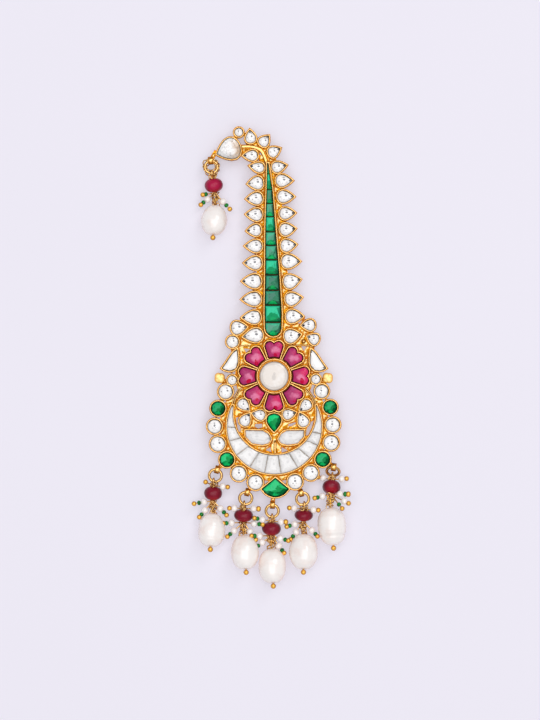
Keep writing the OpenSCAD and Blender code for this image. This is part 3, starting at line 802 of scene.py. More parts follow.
def polki_finish(name, dots, line):
    """White stone over foil: a thin shadow at its edge, grey dots, and a dark spot in a pointed tip."""
    s = stone_looks()
    f = Finish(name)
    x, y, own = f.spot()
    tip, beside, pointed = f.tip()
    cloud, fine = f.noise(0.6, 2.0), f.noise(2.4, 3.0, 0.6)
    arc = (x * 0.6 + y * 0.8 + (cloud - 0.5) * 2.0 + own * 0.3).above(0.3, 0.75)
    edge = f.edge().below(0.02, 0.2) * (fine * 1.1 + 0.1 + arc * 0.7) * line
    # Grey mottling over the whole stone, and painted shade in grey patches near the edge
    grey = fine.above(0.52, 0.78) * 0.14 + f.edge().below(0.1, 0.5) * cloud.above(0.4, 0.6) * 0.14 * line
    grey = grey + (own * 0.09 + 0.17) * max(0.0, 1.0 - dots)
    for across, up, radius, depth in DOTS:
        away = ((x - across + own * (0.12 + across)).squared() + (y - up + own * (0.06 - 0.35 * across)).squared()
                + (fine - 0.5) * 0.06)
        grey = grey + away.below(radius * radius * 0.15, radius * radius * 1.3) * (depth * dots)
    black = ((tip - 0.6).squared() * 0.7 + beside.squared()).below(0.04, 0.15) * pointed * (own * 0.3 + 1.0)
    body = f.mix((grey + cloud.above(0.5, 0.8) * 0.05).clamped(), s.white, s.white_shadow)
    body = f.mix(black.clamped(), f.mix(edge.clamped(), body, s.white_edge), s.black)
    # A faint painted glow of the stone's own colour
    return f.surface(body, 0.12 + fine * 0.12, 0.0, cloud, 0.02,
                     coat=0.3, coat_roughness=0.08, ior=1.5, glow=0.06, emission=body)


def plume_stone_finish():
    """The large stone at the plume's tip: pale and mottled, greyer towards its lower left, warm on its right side,
    with a painted shadow at its edge.
    """
    s = stone_looks()
    f = Finish("plume_tip_stone")
    x, y = f.spot()[:2]
    cloud, fine = f.noise(0.55, 3.0), f.noise(1.7, 3.0, 0.6)
    warm = (x + (cloud - 0.5) * 1.6 - y * 0.2).above(-0.2, 0.75)
    grey = fine.above(0.5, 0.72) * 0.5 + (y + x * 0.4).below(-0.75, -0.1) * 0.35
    body = f.mix(warm, s.white, s.beige)
    body = f.mix(grey.clamped(), body, s.white_shadow)
    # Painted shadow under the rim at the edge
    return f.surface(f.mix(f.edge().below(0.02, 0.12) * 0.8, body, s.white_edge), 0.12 + fine * 0.1, 0.0,
                     cloud, 0.03, coat=0.6, coat_roughness=0.05, ior=1.6)


def centre_finish():
    """The flower's pale centre stone, with two grey specks near its middle and a painted shadow at its edge."""
    s = stone_looks()
    f = Finish("pale_centre_stone")
    x, y = f.spot()[:2]
    cloud = f.noise(0.35, 2.0)
    first = ((x - 0.03).squared() + (y - 0.18).squared()).below(0.002, 0.016)
    second = ((x + 0.01).squared() + (y + 0.08).squared() * 0.5).below(0.006, 0.035)
    ring = (x.squared() + y.squared() - 0.68).size().below(0.0, 0.07)
    # Painted shadow in grey at the edge, with the two grey specks and a faint darker ring
    shadow = f.edge().below(0.01, 0.12) * 0.5 + first * 0.22 + second * 0.26 + ring * cloud * 0.3
    body = f.mix(cloud.above(0.45, 0.7) * 0.5, s.centre, s.white)
    return f.surface(f.mix(shadow.clamped(), body, s.white_shadow), 0.12 + cloud * 0.1, 0.0,
                     cloud, 0.03, coat=0.5, coat_roughness=0.05, ior=1.55)


def emerald_finish(name, greys):
    """Green stone over foil with painted light: painted shade at its dark edges and on facets that tilt away, a
    bright arch of painted light on its lower half, painted reflections in mint or grey facets above, and a faint
    painted glow.
    """
    s = stone_looks()
    f = Finish(name)
    x, y, own = f.spot()
    wobble, streak = f.noise(0.55, 2.0), f.noise(1.6, 3.0, 0.6)
    slope = f.normal()
    tilt = slope[1] * 2.2 - slope[0] * 1.4 + (wobble - 0.5) * 0.5 + own * 0.1
    arch = y + x.squared() * 0.9 + (wobble - 0.5) * 0.9 + own * 0.35
    pool = arch.below(-0.1, 0.02)
    inner = (y + x.squared() * 1.5 + (streak - 0.5) * 0.5).below(-0.5, -0.32)
    facet = (x * 0.8 - y * 0.5 + (wobble - 0.5) * 2.2).above(0.0, 0.1)
    mirror = tuple(a + (b - a) * greys for a, b in zip(s.green_bright, s.green_mint))
    ground = tuple(a + (b - a) * greys for a, b in zip(s.green_leaf, s.green))
    # Painted reflections in mint or grey on the upper half
    top = f.mix(own.above(-0.4, 0.2) * greys, mirror, s.green_grey)
    top = f.mix(facet * (own * 0.25 + 1.3 - greys), top, ground)
    body = f.mix(pool, top, ground)
    # Painted reflection on facets tilted towards the upper left, painted shade on facets tilted away
    body = f.mix(tilt.above(0.12, 0.3) * 0.55, body, mirror)
    body = f.mix(tilt.below(-0.34, -0.12) * 0.6, body, s.green_dark)
    # Painted light thrown to the lower inside
    body = f.mix(inner * (0.5 + own * 0.4), body, s.green_bright)
    body = f.mix((streak.above(0.55, 0.75) * 0.5 + own.above(0.5, 0.95) * 0.35).clamped(), body, s.green_dark)
    # Painted shade at the edges
    body = f.mix(f.edge().below(0.04, 0.24), body, s.green_dark)
    # A faint painted glow of the stone's own colour
    return f.surface(body, 0.1 + streak * 0.1, 0.0, wobble, 0.02, specular=0.08, glow=0.3 - greys * 0.1,
                     emission=body)


def petal_finish(name):
    """Pink stone over foil with painted light: shaded plum on its left and lit rose on its right, painted shade in
    dark maroon at its edges, a painted highlight in a milky fan, a crimson pool of painted light on its lower side,
    and a faint painted glow.
    """
    s = stone_looks()
    f = Finish(name)
    x, y, own = f.spot()
    wobble, streak = f.noise(0.5, 2.0), f.noise(1.5, 3.0, 0.6)
    body = f.mix((x * 0.6 + own * 0.5 + (wobble - 0.5)).above(-0.5, 0.5), s.plum, s.rose)
    # Painted highlight: a pale fan near the middle
    fan_highlight = ((y + 0.12).squared() * 2.2 + (x - 0.1).squared() * 1.4 + (wobble - 0.5) * 1.3).below(0.02, 0.5)
    body = f.mix(fan_highlight * (0.25 + streak), body, s.petal_pale)
    # Painted light: a crimson pool on the lower side
    pool = ((y + 0.5).squared() * 3.0 + (x - 0.15).squared() * 4.5 + (wobble - 0.5) * 1.3).below(0.16, 0.24)
    body = f.mix(pool, body, s.crimson)
    body = f.mix(streak.above(0.54, 0.7) * 0.5, body, s.plum)
    # Painted shade in maroon at the edges
    body = f.mix(f.edge().below(0.05, 0.19), body, s.maroon)
    # A faint painted glow
    return f.surface(body, 0.12 + streak * 0.1, 0.0, wobble, 0.03, specular=0.2, glow=0.1, emission=body)


def ruby_finish(name, colour):
    """Dark crimson beads with painted light: redder on their lower half, where light passes through, and painted
    shade on their sides, broken by streaks.
    """
    s = stone_looks()
    f = Finish(name)
    x, y = f.spot()[:2]
    cloud, streak = f.noise(0.5, 3.0), f.noise(1.4, 3.0, 0.6, (0.5, 2.2, 1.0))
    # Painted light through the lower half
    red = (y + (cloud - 0.5) * 0.8).below(-0.75, -0.1) * x.size().below(0.35, 0.95)
    body = f.mix(red * 0.8, colour, s.ruby_red)
    # Painted shade on the sides, broken by streaks
    body = f.mix((x.size() * 0.6 + streak * 0.5).above(0.45, 0.95) * 0.7, body, s.ruby_dark)
    return f.surface(body, 0.26 + streak * 0.16, 0.0, streak, 0.02, coat=0.12, coat_roughness=0.2, specular=0.22)


def pearl_finish(name, scale):
    """Pearl skin: warm white with cloudy blush, and painted shade in blush that deepens towards its sides, with a
    faint painted glow.
    """
    s = stone_looks()
    f = Finish(name)
    cloud, fine = f.noise(scale, 3.0), f.noise(scale * 6, 2.0)
    # Painted shade: blush deepens where the skin turns from up; cloudy blush patches over it
    side = f.facing().below(0.0, 0.7) * 0.7 + cloud.above(0.45, 0.75) * 0.4
    skin = f.mix(side.clamped(), s.pearl, s.pearl_blush)
    # A faint painted glow of the skin's colour
    return f.surface(skin, 0.2 + fine * 0.06, 0.0, cloud, 0.006, coat=0.5, coat_roughness=0.2, ior=1.6,
                     glow=0.08, emission=skin)


def glass_finish():
    """Green glass seeds, darker in patches."""
    s = stone_looks()
    f = Finish("green_glass_seed")
    cloud = f.noise(0.9, 3.0)
    return f.surface(f.mix(cloud.above(0.5, 0.68) * 0.8, s.seed_green, s.green_dark), 0.12 + cloud * 0.1, 0.0,
                     cloud, 0.02, coat=0.3, coat_roughness=0.08, specular=0.2)


def floor_finish():
    """The pale floor, part of whose light is its own, so that the shadows on it stay soft."""
    f = Finish("pale_floor")
    cloud = f.noise(0.01, 2.0)
    floor = tuple(stage_sizes().floor)
    lit, cloudy = (tuple(c * share for c in floor) for share in (1 - OWN_LIGHT, 0.98 - OWN_LIGHT))
    return f.surface(f.mix(cloud * 0.3, lit, cloudy), 0.7 + cloud * 0.1, 0.0, glow=OWN_LIGHT, emission=floor)


def dress(node, material):
    """Gives a carried-over CAD node its finish."""
    slots = NODES[node].material_slots
    if not slots:
        NODES[node].data.materials.append(None)
    for slot in NODES[node].material_slots:
        slot.link = "OBJECT"
        slot.material = material


def shared(name, maker, *values):
    """A finish that several pieces share, made once."""
    return bpy.data.materials.get(name) or maker(name, *values)


def ball_gold():
    """The finish of the gold balls and of the pins that end in them."""
    return shared("ball_gold", gold_finish, gold_sizes().ball, 0.55, 0.45)


def rim_gold():
    """The finish of the rims, the bands and the lugs."""
    return shared("rim_gold", gold_finish, gold_sizes().pale)


# Pieces


def pockets():
    """The outline of every pocket that is sunk in the gold, from the frame's own floors."""
    seat = min(s.low for s in stones_of("centre_stone"))
    mesh = clusters("frame")[0]
    floor = {f for f in mesh.faces
             if f.normal.z > 0.99 and all(-FLOOR_DEPTH < v.co.z - seat < 0.01 for v in f.verts)}
    rim = [e for e in mesh.edges if sum(f in floor for f in e.link_faces) == 1]
    ahead = {}
    for e in rim:
        face = next(f for f in e.link_faces if f in floor)
        loop = next(l for l in face.loops if l.edge == e)
        ahead[loop.vert] = loop.link_loop_next.vert
    outlines = []
    while ahead:
        start = min(ahead, key=lambda v: (round(-v.co.y, 3), round(v.co.x, 3)))
        path = [start]
        while ahead.get(path[-1]) is not None:
            path.append(ahead.pop(path[-1]))
        outline = np.array([v.co.xy for v in path[:-1]])
        if len(outline) > 3 and area(outline) > POCKET_LEAST:
            outlines.append(rounded(outline))
    mesh.free()
    return outlines


def nearest(points, others):
    """Distance from each point to the nearest of other points."""
    made = np.full(len(points), 99.0)
    for start in range(0, len(others), 400):
        part = others[start:start + 400]
        made = np.minimum(made, np.linalg.norm(points[:, None] - part[None], axis=2).min(axis=1))
    return made


def add_rim(build, outline, others, tree, width, notches=0):
    """A rounded, hand-pressed gold rim round one pocket. The centre's ring is milled on its inner edge."""
    g = gold_sizes()
    outline = resampled(outline, RING_STEP if notches else RIM_STEP)
    normals = outward(outline)
    limit = nearest(outline, others)
    heights = [top_of(tree, *(p + n * 0.2)) for p, n in zip(outline, normals)]
    steady = float(np.median([h for h in heights if h is not None]))
    points = []
    turn_share = shares(outline)
    for p, n, reach, share in zip(outline, normals, limit, turn_share):
        wave = steady_noise(p[0], p[1], 0.0, 1.3) * g.unevenness
        outer = width if notches else min(width * (1 + 0.25 * wave), reach + 0.03)
        crown = g.rim_rise * (1 + wave)
        notch = 0.06 * math.sin(2 * math.pi * notches * share)
        for across, rise in RING_SECTION if notches else RIM_SECTION:
            lift = notch if 0.05 < across < 0.3 else 0.0
            q = p + n * (across * (outer + g.rim_in) - g.rim_in)
            points.append((q[0], q[1], max(steady + rise * crown + lift, BACK_Z + 0.15)))
    count, rows = len(outline), len(RING_SECTION if notches else RIM_SECTION)
    faces = []
    for i in range(count):
        j = (i + 1) % count
        faces += [(i * rows + k, j * rows + k, j * rows + k + 1, i * rows + k + 1) for k in range(rows - 1)]
        faces.append((i * rows + rows - 1, j * rows + rows - 1, j * rows, i * rows))
    build.add(points, faces)


def spots(points, stone, own):
    """Where each point lies on its stone, from -1 to 1, and the stone's own number."""
    if stone.node == "shoulder_stones" and not stone.dotted:
        return [(NO_DOTS, NO_DOTS, own)] * len(points)
    reach = np.abs(stone.outline - stone.centre).max(axis=0)
    return [((p[0] - stone.centre[0]) / reach[0], (p[1] - stone.centre[1]) / reach[1], own) for p in points]


def at_share(loop, loop_shares, share):
    """The point of a closed loop at a share of its length."""
    closed = np.vstack([loop, loop[:1]])
    at = np.append(loop_shares, 1.0)
    return np.array([np.interp(share % 1.0, at, closed[:, axis]) for axis in (0, 1)])


def add_facets(build, stone, rng, facets, steps, edge_drop, jitter=0.0):
    """A stone with flat facets: rings at (inset in half widths, drop from the top, share of the facets)."""
    outline = resampled(stone.outline, STONE_STEP)
    outline = outline + outward(outline) * LAP
    count = len(outline)
    along = shares(outline)
    own = rng.uniform(-1, 1)
    points = [(p[0], p[1], stone.low) for p in outline] + [(p[0], p[1], stone.high - edge_drop) for p in outline]
    edges = [0.0] * (2 * count)
    faces = [tuple(reversed(range(count)))] + bands(2, count)
    ring, ring_share = list(range(count, 2 * count)), along
    normals = outward(outline)
    start_share = rng.uniform(0, 1) / facets
    for inset, drop, share in steps:
        loop = outline - normals * inset * stone.half
        many = max(4, round(facets * share))
        at = [(start_share + (k + rng.uniform(-jitter, jitter)) / many) % 1.0 for k in range(many)]
        at.sort()
        inner = list(range(len(points), len(points) + many))
        for a in at:
            p = at_share(loop, along, a)
            points.append((p[0], p[1], stone.high - drop + rng.uniform(-jitter, jitter) * 0.15))
            edges.append(inset)
        faces += stitch_from(ring, ring_share, inner, np.array(at))
        ring, ring_share = inner, np.array(at)
    faces.append(tuple(ring))
    build.add(points, faces, False, edges, spots(points, stone, own), stone.tips(points))


def stitch_from(outer, outer_share, inner, inner_share):
    """Triangles between two loops, from the outer point nearest to the inner loop's start."""
    gap = np.abs(outer_share - inner_share[0])
    k = int(np.argmin(np.minimum(gap, 1 - gap)))
    turned = [(s - outer_share[k]) % 1.0 for s in np.roll(outer_share, -k)]
    base = outer_share[k]
    inner_turned = [max(0.0, ((s - base + 0.5) % 1.0) - 0.5) if i == 0 else (s - base) % 1.0
                    for i, s in enumerate(inner_share)]
    return stitch(list(np.roll(outer, -k)), inner, turned, inner_turned)


def add_dome(build, stone, rng, rings, edge_drop, power):
    """A smooth domed stone: rings shrink about its middle while they rise."""
    outline = resampled(stone.outline, 0.3)
    outline = outline + outward(outline) * LAP
    own, count = rng.uniform(-1, 1), len(outline)
    points = [(p[0], p[1], stone.low) for p in outline]
    edges = [0.0] * count
    for share in rings:
        rise = edge_drop * (1 - (1 - share ** 2) ** power) if share < 1 else edge_drop
        for p in outline:
            q = stone.centre + (p - stone.centre) * share
            points.append((q[0], q[1], stone.high - rise))
            edges.append(1 - share)
    faces = [tuple(reversed(range(count)))] + bands(len(rings) + 1, count)
    faces.append(tuple(len(rings) * count + i for i in range(count)))
    build.add(points, faces, True, edges, spots(points, stone, own))


class KALGI_OT_metal(bpy.types.Operator):
    """Gives the CAD's gold pieces their finish"""
    bl_idname = "kalgi.metal"
    bl_label = "Gold finish"

    def execute(self, context):
        wire = shared("gold_wire", gold_finish, gold_sizes().pale, 0.5)
        dress("frame", recess_finish())
        dress("turban_prong", wire)
        for i in DROPS:
            dress(f"bead_pin_{i}", wire)
            dress(f"pearl_pin_{i}", ball_gold())
            centre, u, v, radius, thick = ring_of(f"jump_ring_{i}")
            path = [centre + radius * arm(u, v, math.tau * k / 36) for k in range(36)]
            build = Build()
            build.add(*tube(path, thick * RING_SWELL, 12, True))
            rng = random.Random(i)
            for k in range(TIP_LOOPS if i == TIP_DROP else 0):
                place = centre + radius * arm(u, v, math.tau * k / TIP_LOOPS)
                normal = (rng.uniform(-0.7, 0.7), rng.uniform(-0.7, 0.7), 1.0)
                loop = loose_loop(place, normal, rng.uniform(0.55, 1.0), rng)
                build.add(*tube(loop, gold_sizes().coil_wire * RING_SWELL, 7, True))
            build.make(f"jump_ring_{i}_wire", wire, "gold", [f"jump_ring_{i}"])
        return {"FINISHED"}


class KALGI_OT_rims(bpy.types.Operator):
    """Presses a rounded gold rim round every pocket"""
    bl_idname = "kalgi.rims"
    bl_label = "Gold rims"

    def execute(self, context):
        g = gold_sizes()
        tree = frame_tree()
        outlines = pockets()
        centre = stones_of("centre_stone")[0].centre
        build = Build()
        for i, outline in enumerate(outlines):
            others = np.vstack([o for k, o in enumerate(outlines) if k != i])
            middle_one = np.linalg.norm(middle(outline) - centre) < 1.0
            add_rim(build, outline, others, tree, g.ring_out if middle_one else g.rim_out,
                    g.ring_notches if middle_one else 0)
        build.make("gold_rims", rim_gold(), "gold")
        return {"FINISHED"}


class KALGI_OT_grains(bpy.types.Operator):
    """Fills the gaps between the settings with cut gold pyramids"""
    bl_idname = "kalgi.grains"
    bl_label = "Gold pyramids"

    def execute(self, context):
        g = gold_sizes()
        tree = frame_tree()
        edges = np.vstack([resampled(o, 0.3) for o in pockets()])
        low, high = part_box("frame")
        places, bare = [], [np.array(BEAD) + 0.5 * np.array((math.cos(a), math.sin(a))) for a in range(6)]
        for x in np.arange(low.x * MM, high.x * MM, GRAIN_STEP):
            for y in np.arange(low.y * MM, high.y * MM, GRAIN_STEP):
                z = top_of(tree, x, y)
                if z is None:
                    bare.append((x, y))
                elif WEB_LOW < z < WEB_HIGH:
                    places.append((x, y))
        places, bare = np.array(places), np.array(bare)
        room = np.minimum(nearest(places, edges) - g.rim_out - g.grain_gap, nearest(places, bare) - g.grain_gap)
        build = Build()
        taken = np.zeros((0, 3))
        for k in np.argsort(-room, kind="stable"):
            p, r = places[k], float(room[k])
            if r < g.grain_least:
                break
            if len(taken) and (np.linalg.norm(taken[:, :2] - p, axis=1) < taken[:, 2] + r).any():
                continue
            taken = np.vstack([taken, [*p, r]])
            add_grain(build, p, r, edges, tree)
        build.make("gold_pyramids", shared("bright_gold", bright_finish), "gold")
        return {"FINISHED"}


def add_grain(build, place, room, edges, tree):
    """One pyramid that fits its gap: its foot reaches towards the rims all round."""
    g = gold_sizes()
    away = edges - place
    reach = np.linalg.norm(away, axis=1)
    foot, reaches = [], []
    base = top_of(tree, *place)
    for k in range(GRAIN_SIDES):
        a = 2 * math.pi * k / GRAIN_SIDES
        d = np.array([math.cos(a), math.sin(a)])
        ahead = (away @ d) / np.maximum(reach, 0.01) > 0.93
        far = reach[ahead].min() - g.rim_out - g.grain_gap if ahead.any() else room
        far = min(max(far, room), room * 1.9)
        clear = next((s for s in np.arange(0.1, far + 0.1, 0.1) if top_of(tree, *(place + d * s)) is None), far + 0.1)
        far = min(far, float(clear) - 0.1)
        reaches.append(far)
        foot.append(place + d * far)
    rise = min(g.grain_height, room * 0.8)
    corners = [k for k in range(GRAIN_SIDES) if reaches[k - 1] <= reaches[k] > reaches[(k + 1) % GRAIN_SIDES]]
    corners = corners if len(corners) > 2 else [1, 5, 9]
    for k in range(GRAIN_SIDES):
        before = max((c for c in corners if c <= k), default=corners[-1] - GRAIN_SIDES)
        after = min((c for c in corners if c > k), default=corners[0] + GRAIN_SIDES)
        side = 360 / GRAIN_SIDES * (before + after) / 2
        lit = 0.5 + 0.5 * math.cos(math.radians(side - LIGHT_BEARING))
        points = [(*foot[k], base - 0.1), (*foot[(k + 1) % GRAIN_SIDES], base - 0.1), (*place, base + rise)]
        build.add(points, [(0, 1, 2)], False, [0.0, 0.0, 1.0], [(lit, 0.0, 0.0)] * 3)


class KALGI_OT_trims(bpy.types.Operator):
    """Adds the bright bands, the bar between the leaves, the lugs and the two lumpy knobs"""
    bl_idname = "kalgi.trims"
    bl_label = "Bands, bars and knobs"

    def execute(self, context):
        tree = frame_tree()
        build = Build()
        ridge = rounded_path(RIDGE)
        top = top_of(tree, *RIDGE[3])
        build.add(*strip(ridge, RIDGE_HALF, top - 0.05, 0.3))
        lumps = Build()
        for x, y in KNOBS:
            top = top_of(tree, x, y)
            for across, up, radius, lift in LUMPS:
                *shape, spot = ball((x + across, y + up, top - radius + lift), (0, 0, 1), radius, radius, 12, 24)
                # Painted highlight: each lump is lit towards its top
                lumps.add(*shape, [(0.6 * place[1], 0.0, 0.0) for place in spot])
        lumps.make("gold_knobs", shared("bright_gold", bright_finish), "gold")
        build.add(*ball((*BEAD, top_of(tree, *BEAD) + 0.3), (0, 0, 1), 0.7, 0.7, 10, 16))
        for path in BROWS:
            build.add(*strip(rounded_path(path), 0.22, BACK_Z + 2.1, 0.45))
        for path in HORNS:
            path = rounded_path(path)
            for side in (-1, 1):
                shifted = [p + np.array([side * 0.3, 0.0]) for p in path]
                build.add(*strip(shifted, 0.25, BACK_Z + 2.2, 0.5))
        build.add(*strip(BAR, 0.5, BACK_Z + 2.1, 0.4))
        for x, y, axis, stem in LUGS:
            place, stalk = Vector((x, y, LUG_Z)), heading(stem)
            build.add(*turned_tube(place, heading(axis), 0.82, 0.8, 1.3))
            build.add(*tube([place + stalk * reach for reach in (1.0, 1.8, 2.6)], 0.72, 12))
        build.make("gold_band_knobs_and_lugs", rim_gold(), "gold")
        return {"FINISHED"}


class KALGI_OT_white_stones(bpy.types.Operator):
    """Cuts the white stones with flat, uneven facets"""
    bl_idname = "kalgi.white_stones"
    bl_label = "White stones"

    def execute(self, context):
        speckled = shared("speckled_white_stone", polki_finish, 1.15, 1.0)
        clear = shared("clear_white_stone", polki_finish, 0.14, 0.6)
        finishes = {**dict.fromkeys(SPECKLED, speckled), **dict.fromkeys(CLEAR, clear),
                    "tip_stone": plume_stone_finish()}
        for node, finish in finishes.items():
            rng = random.Random(stone_looks().stone_seed + len(node))
            build = Build()
            for stone in stones_of(node):
                facets = 9 if stone.half > LARGE_STONE else 7
                add_facets(build, stone, rng, facets, [(0.34, 0.2, 1.0), (0.66, 0.02, 0.7)], 0.5, 0.16)
            build.make(f"{node}_cut", finish, "polki", [node])
        return {"FINISHED"}


class KALGI_OT_centre(bpy.types.Operator):
    """Domes the flower's centre stone"""
    bl_idname = "kalgi.centre"
    bl_label = "Centre stone"

    def execute(self, context):
        stone = stones_of("centre_stone")[0]
        build = Build()
        add_dome(build, stone, random.Random(3), DOME_RINGS, 0.75, 0.8)
        build.make("centre_stone_dome", centre_finish(), "polki", ["centre_stone"])
        return {"FINISHED"}


class KALGI_OT_emeralds(bpy.types.Operator):
    """Cuts the emeralds of the channel, the border and the flower's foot"""
    bl_idname = "kalgi.emeralds"
    bl_label = "Emeralds"

    def execute(self, context):
        channel = emerald_finish("channel_emerald", 1.0)
        vivid = emerald_finish("vivid_emerald", 0.25)
        for node in ("channel_emeralds", "border_emeralds", "base_emerald", "garden_emerald"):
            rng = random.Random(stone_looks().stone_seed + len(node))
            build = Build()
            for stone in stones_of(node):
                if node == "channel_emeralds":
                    add_facets(build, stone, rng, 4, [(0.3, 0.12, 4.0), (0.55, 0.0, 1.0)], 0.4, 0.05)
                else:
                    add_facets(build, stone, rng, 8, [(0.28, 0.18, 1.0), (0.55, 0.0, 1.0)], 0.5, 0.03)
            build.make(f"{node}_cut", channel if node == "channel_emeralds" else vivid, "emerald", [node])
        return {"FINISHED"}


class KALGI_OT_petals(bpy.types.Operator):
    """Domes the flower's pink petals"""
    bl_idname = "kalgi.petals"
    bl_label = "Petals"

    def execute(self, context):
        pink = shared("pink_petal_stone", petal_finish)
        rng = random.Random(stone_looks().stone_seed)
        for node in PETALS:
            build = Build()
            add_dome(build, stones_of(node)[0], rng, DOME_RINGS, 0.75, 0.75)
            build.make(f"{node}_dome", pink, "petal_pink", [node])
        return {"FINISHED"}


class KALGI_OT_beads(bpy.types.Operator):
    """Makes the ruby beads and the uneven pearls of the drops"""
    bl_idname = "kalgi.beads"
    bl_label = "Beads and pearls"

    def execute(self, context):
        red = ruby_finish("crimson_bead", stone_looks().ruby)
        pink = ruby_finish("bright_crimson_bead", stone_looks().ruby_pink)
        white = shared("pearl_skin", pearl_finish, 0.25)
        for i in DROPS:
            ruby = shafts_of(f"ruby_bead_{i}")[0]
            build = Build()
            build.add(*ball(ruby.centre, ruby.axis, ruby.length / 2, ruby.radius, 20, 36, 0.8,
                            lambda along, a: 0.02 * math.sin(3 * a + i) + 0.012 * math.cos(5 * a - along)))
            build.make(f"ruby_bead_{i}_round", pink if i == TIP_DROP else red, "ruby", [f"ruby_bead_{i}"])
            pearl = shafts_of(f"big_pearl_{i}")[0]

            def dent(along, a):
                wave = steady_noise(math.cos(a) + 7 * i, math.sin(a), along / pearl.length * 2.2, 0.9)
                ripple = RIPPLES[i] * math.sin(along * 4.6 + i + 0.3 * wave) * (1 + steady_noise(along, i, 0.0, 0.6))
                ring = 0.06 * math.exp(-((along + pearl.length * 0.22) / 0.4) ** 2) if i == 5 else 0
                return 0.07 * wave - 0.02 - ring + ripple
            build = Build()
            points, *rest = ball(pearl.centre, pearl.axis, pearl.length / 2, pearl.radius, 34, 48, 0.78, dent)
            across = pearl.centre[0]
            build.add([(across + (p.x - across) * PEARL_STRETCH, p.y, max(p.z, 0.0)) for p in points], *rest)
            build.make(f"big_pearl_{i}_uneven", white, "pearl", [f"big_pearl_{i}"])
        return {"FINISHED"}


def loose_loop(place, normal, radius, rng):
    """A closed, slightly bent loop of wire."""
    u, v = cross_axes(normal)
    bend = rng.uniform(0.1, 0.35) * radius
    start = rng.uniform(0, math.tau)
    path = []
    for k in range(18):
        a = math.tau * k / 18
        path.append(Vector(place) + radius * (math.cos(a) * u + rng.uniform(0.94, 1.06) * math.sin(a) * v)
                    + Vector(normal).normalized() * bend * math.sin(2 * a + start))
    return path


def coil(place, axis, radius, turns, pitch):
    """A coil of wire about an axis."""
    u, v = cross_axes(axis)
    steps = int(turns * 14)
    return [Vector(place) + Vector(axis) * (pitch * k / 14) + radius * arm(u, v, math.tau * k / 14)
            for k in range(steps + 1)]


class KALGI_OT_wraps(bpy.types.Operator):
    """Winds the tangled wire above and below each ruby bead"""
    bl_idname = "kalgi.wraps"
    bl_label = "Wire wraps"

    def execute(self, context):
        g = gold_sizes()
        build = Build()
        for i in DROPS:
            rng = random.Random(40 + i)
            ruby, pearl = shafts_of(f"ruby_bead_{i}")[0], shafts_of(f"big_pearl_{i}")[0]
            below = ruby.centre - ruby.axis * ruby.length / 2
            end = pearl.centre + pearl.axis * pearl.length / 2
            above = ruby.centre + ruby.axis * ruby.length / 2
            build.add(*tube(coil(below, -ruby.axis, 0.62, 3, 0.36), g.coil_wire, 7))
            build.add(*tube(coil(above, ruby.axis, 0.55, 2, 0.36), g.coil_wire, 7))
            for start, finish, count, spread in ((below, end, LOOPS_BELOW, 0.8),
                                                 (above, above + ruby.axis * 1.5, LOOPS_ABOVE, 0.7)):
                for k in range(count):
                    place = start + (finish - start) * (k + 0.5) / count
                    place = place + np.array([rng.uniform(-spread, spread), 0.0, rng.uniform(0.0, 0.9)])
                    normal = (rng.uniform(-1, 1), rng.uniform(-1, 1), rng.uniform(0.1, 1.1))
                    radius = g.loop_radius * rng.uniform(0.75, 1.15)
                    path = loose_loop(place, normal, radius, rng)
                    build.add(*tube(path, g.coil_wire * rng.uniform(0.85, 1.1), 7, True))
        build.make("wire_wraps", shared("coil_gold", gold_finish, g.pale, 0.55, 0.75), "gold")
        return {"FINISHED"}


class KALGI_OT_seeds(bpy.types.Operator):
    """Strings the seed pearls, green glass seeds and gold balls on their wires"""
    bl_idname = "kalgi.seeds"
    bl_label = "Seed beads"

    def execute(self, context):
        pearls, greens, balls = Build(), Build(), Build()
        strung = shafts_of("seed_pearls")
        for i in DROPS:
            ruby = shafts_of(f"ruby_bead_{i}")[0]
            for start, end in wires_of(i, ruby):
                length = float(np.linalg.norm(end - start))
                axis = (end - start) / length
                own = [p for p in strung if off_line(p.centre, start, axis) < 0.4
                       and 0 < (p.centre - start) @ axis < length + 0.5]
                seed = float(end[0] * 3.7 + end[1])

                def dent(along, a):
                    return 0.07 * steady_noise(math.cos(a) + seed, math.sin(a), along, 0.8)
                reach = 0.6 * length
                if own:
                    pearl = own[0]
                    pearls.add(*ball(pearl.centre, axis, pearl.radius * 0.95, pearl.radius, 12, 18, 0.9, dent))
                    reach = float((pearl.centre - start) @ axis) + pearl.radius
                green = i not in BARE_BALLS if not own else length > reach + 1.1 * GREEN_RADIUS
                if green:
                    reach += GREEN_RADIUS * 0.8
                    greens.add(*ball(start + axis * reach, axis, GREEN_RADIUS * 0.85, GREEN_RADIUS, 10, 16, 0.75,
                                     dent))
                    reach += GREEN_RADIUS * 0.7
                balls.add(*ball(start + axis * max(length - BALL_RADIUS * 0.4, reach + BALL_RADIUS * 0.6), axis,
                                BALL_RADIUS * 0.95, BALL_RADIUS, 10, 16, 0.9))
        pearls.make("seed_pearls_uneven", shared("seed_pearl_skin", pearl_finish, 0.8),
                    "pearl", ["seed_pearls"])
        greens.make("green_seeds", glass_finish(), "emerald")
        balls.make("gold_balls", ball_gold(), "gold")
        return {"FINISHED"}


def off_line(point, start, axis):
    """Distance from a point to the line through a start along an axis."""
    away = point - start
    return float(np.linalg.norm(away - (away @ axis) * axis))


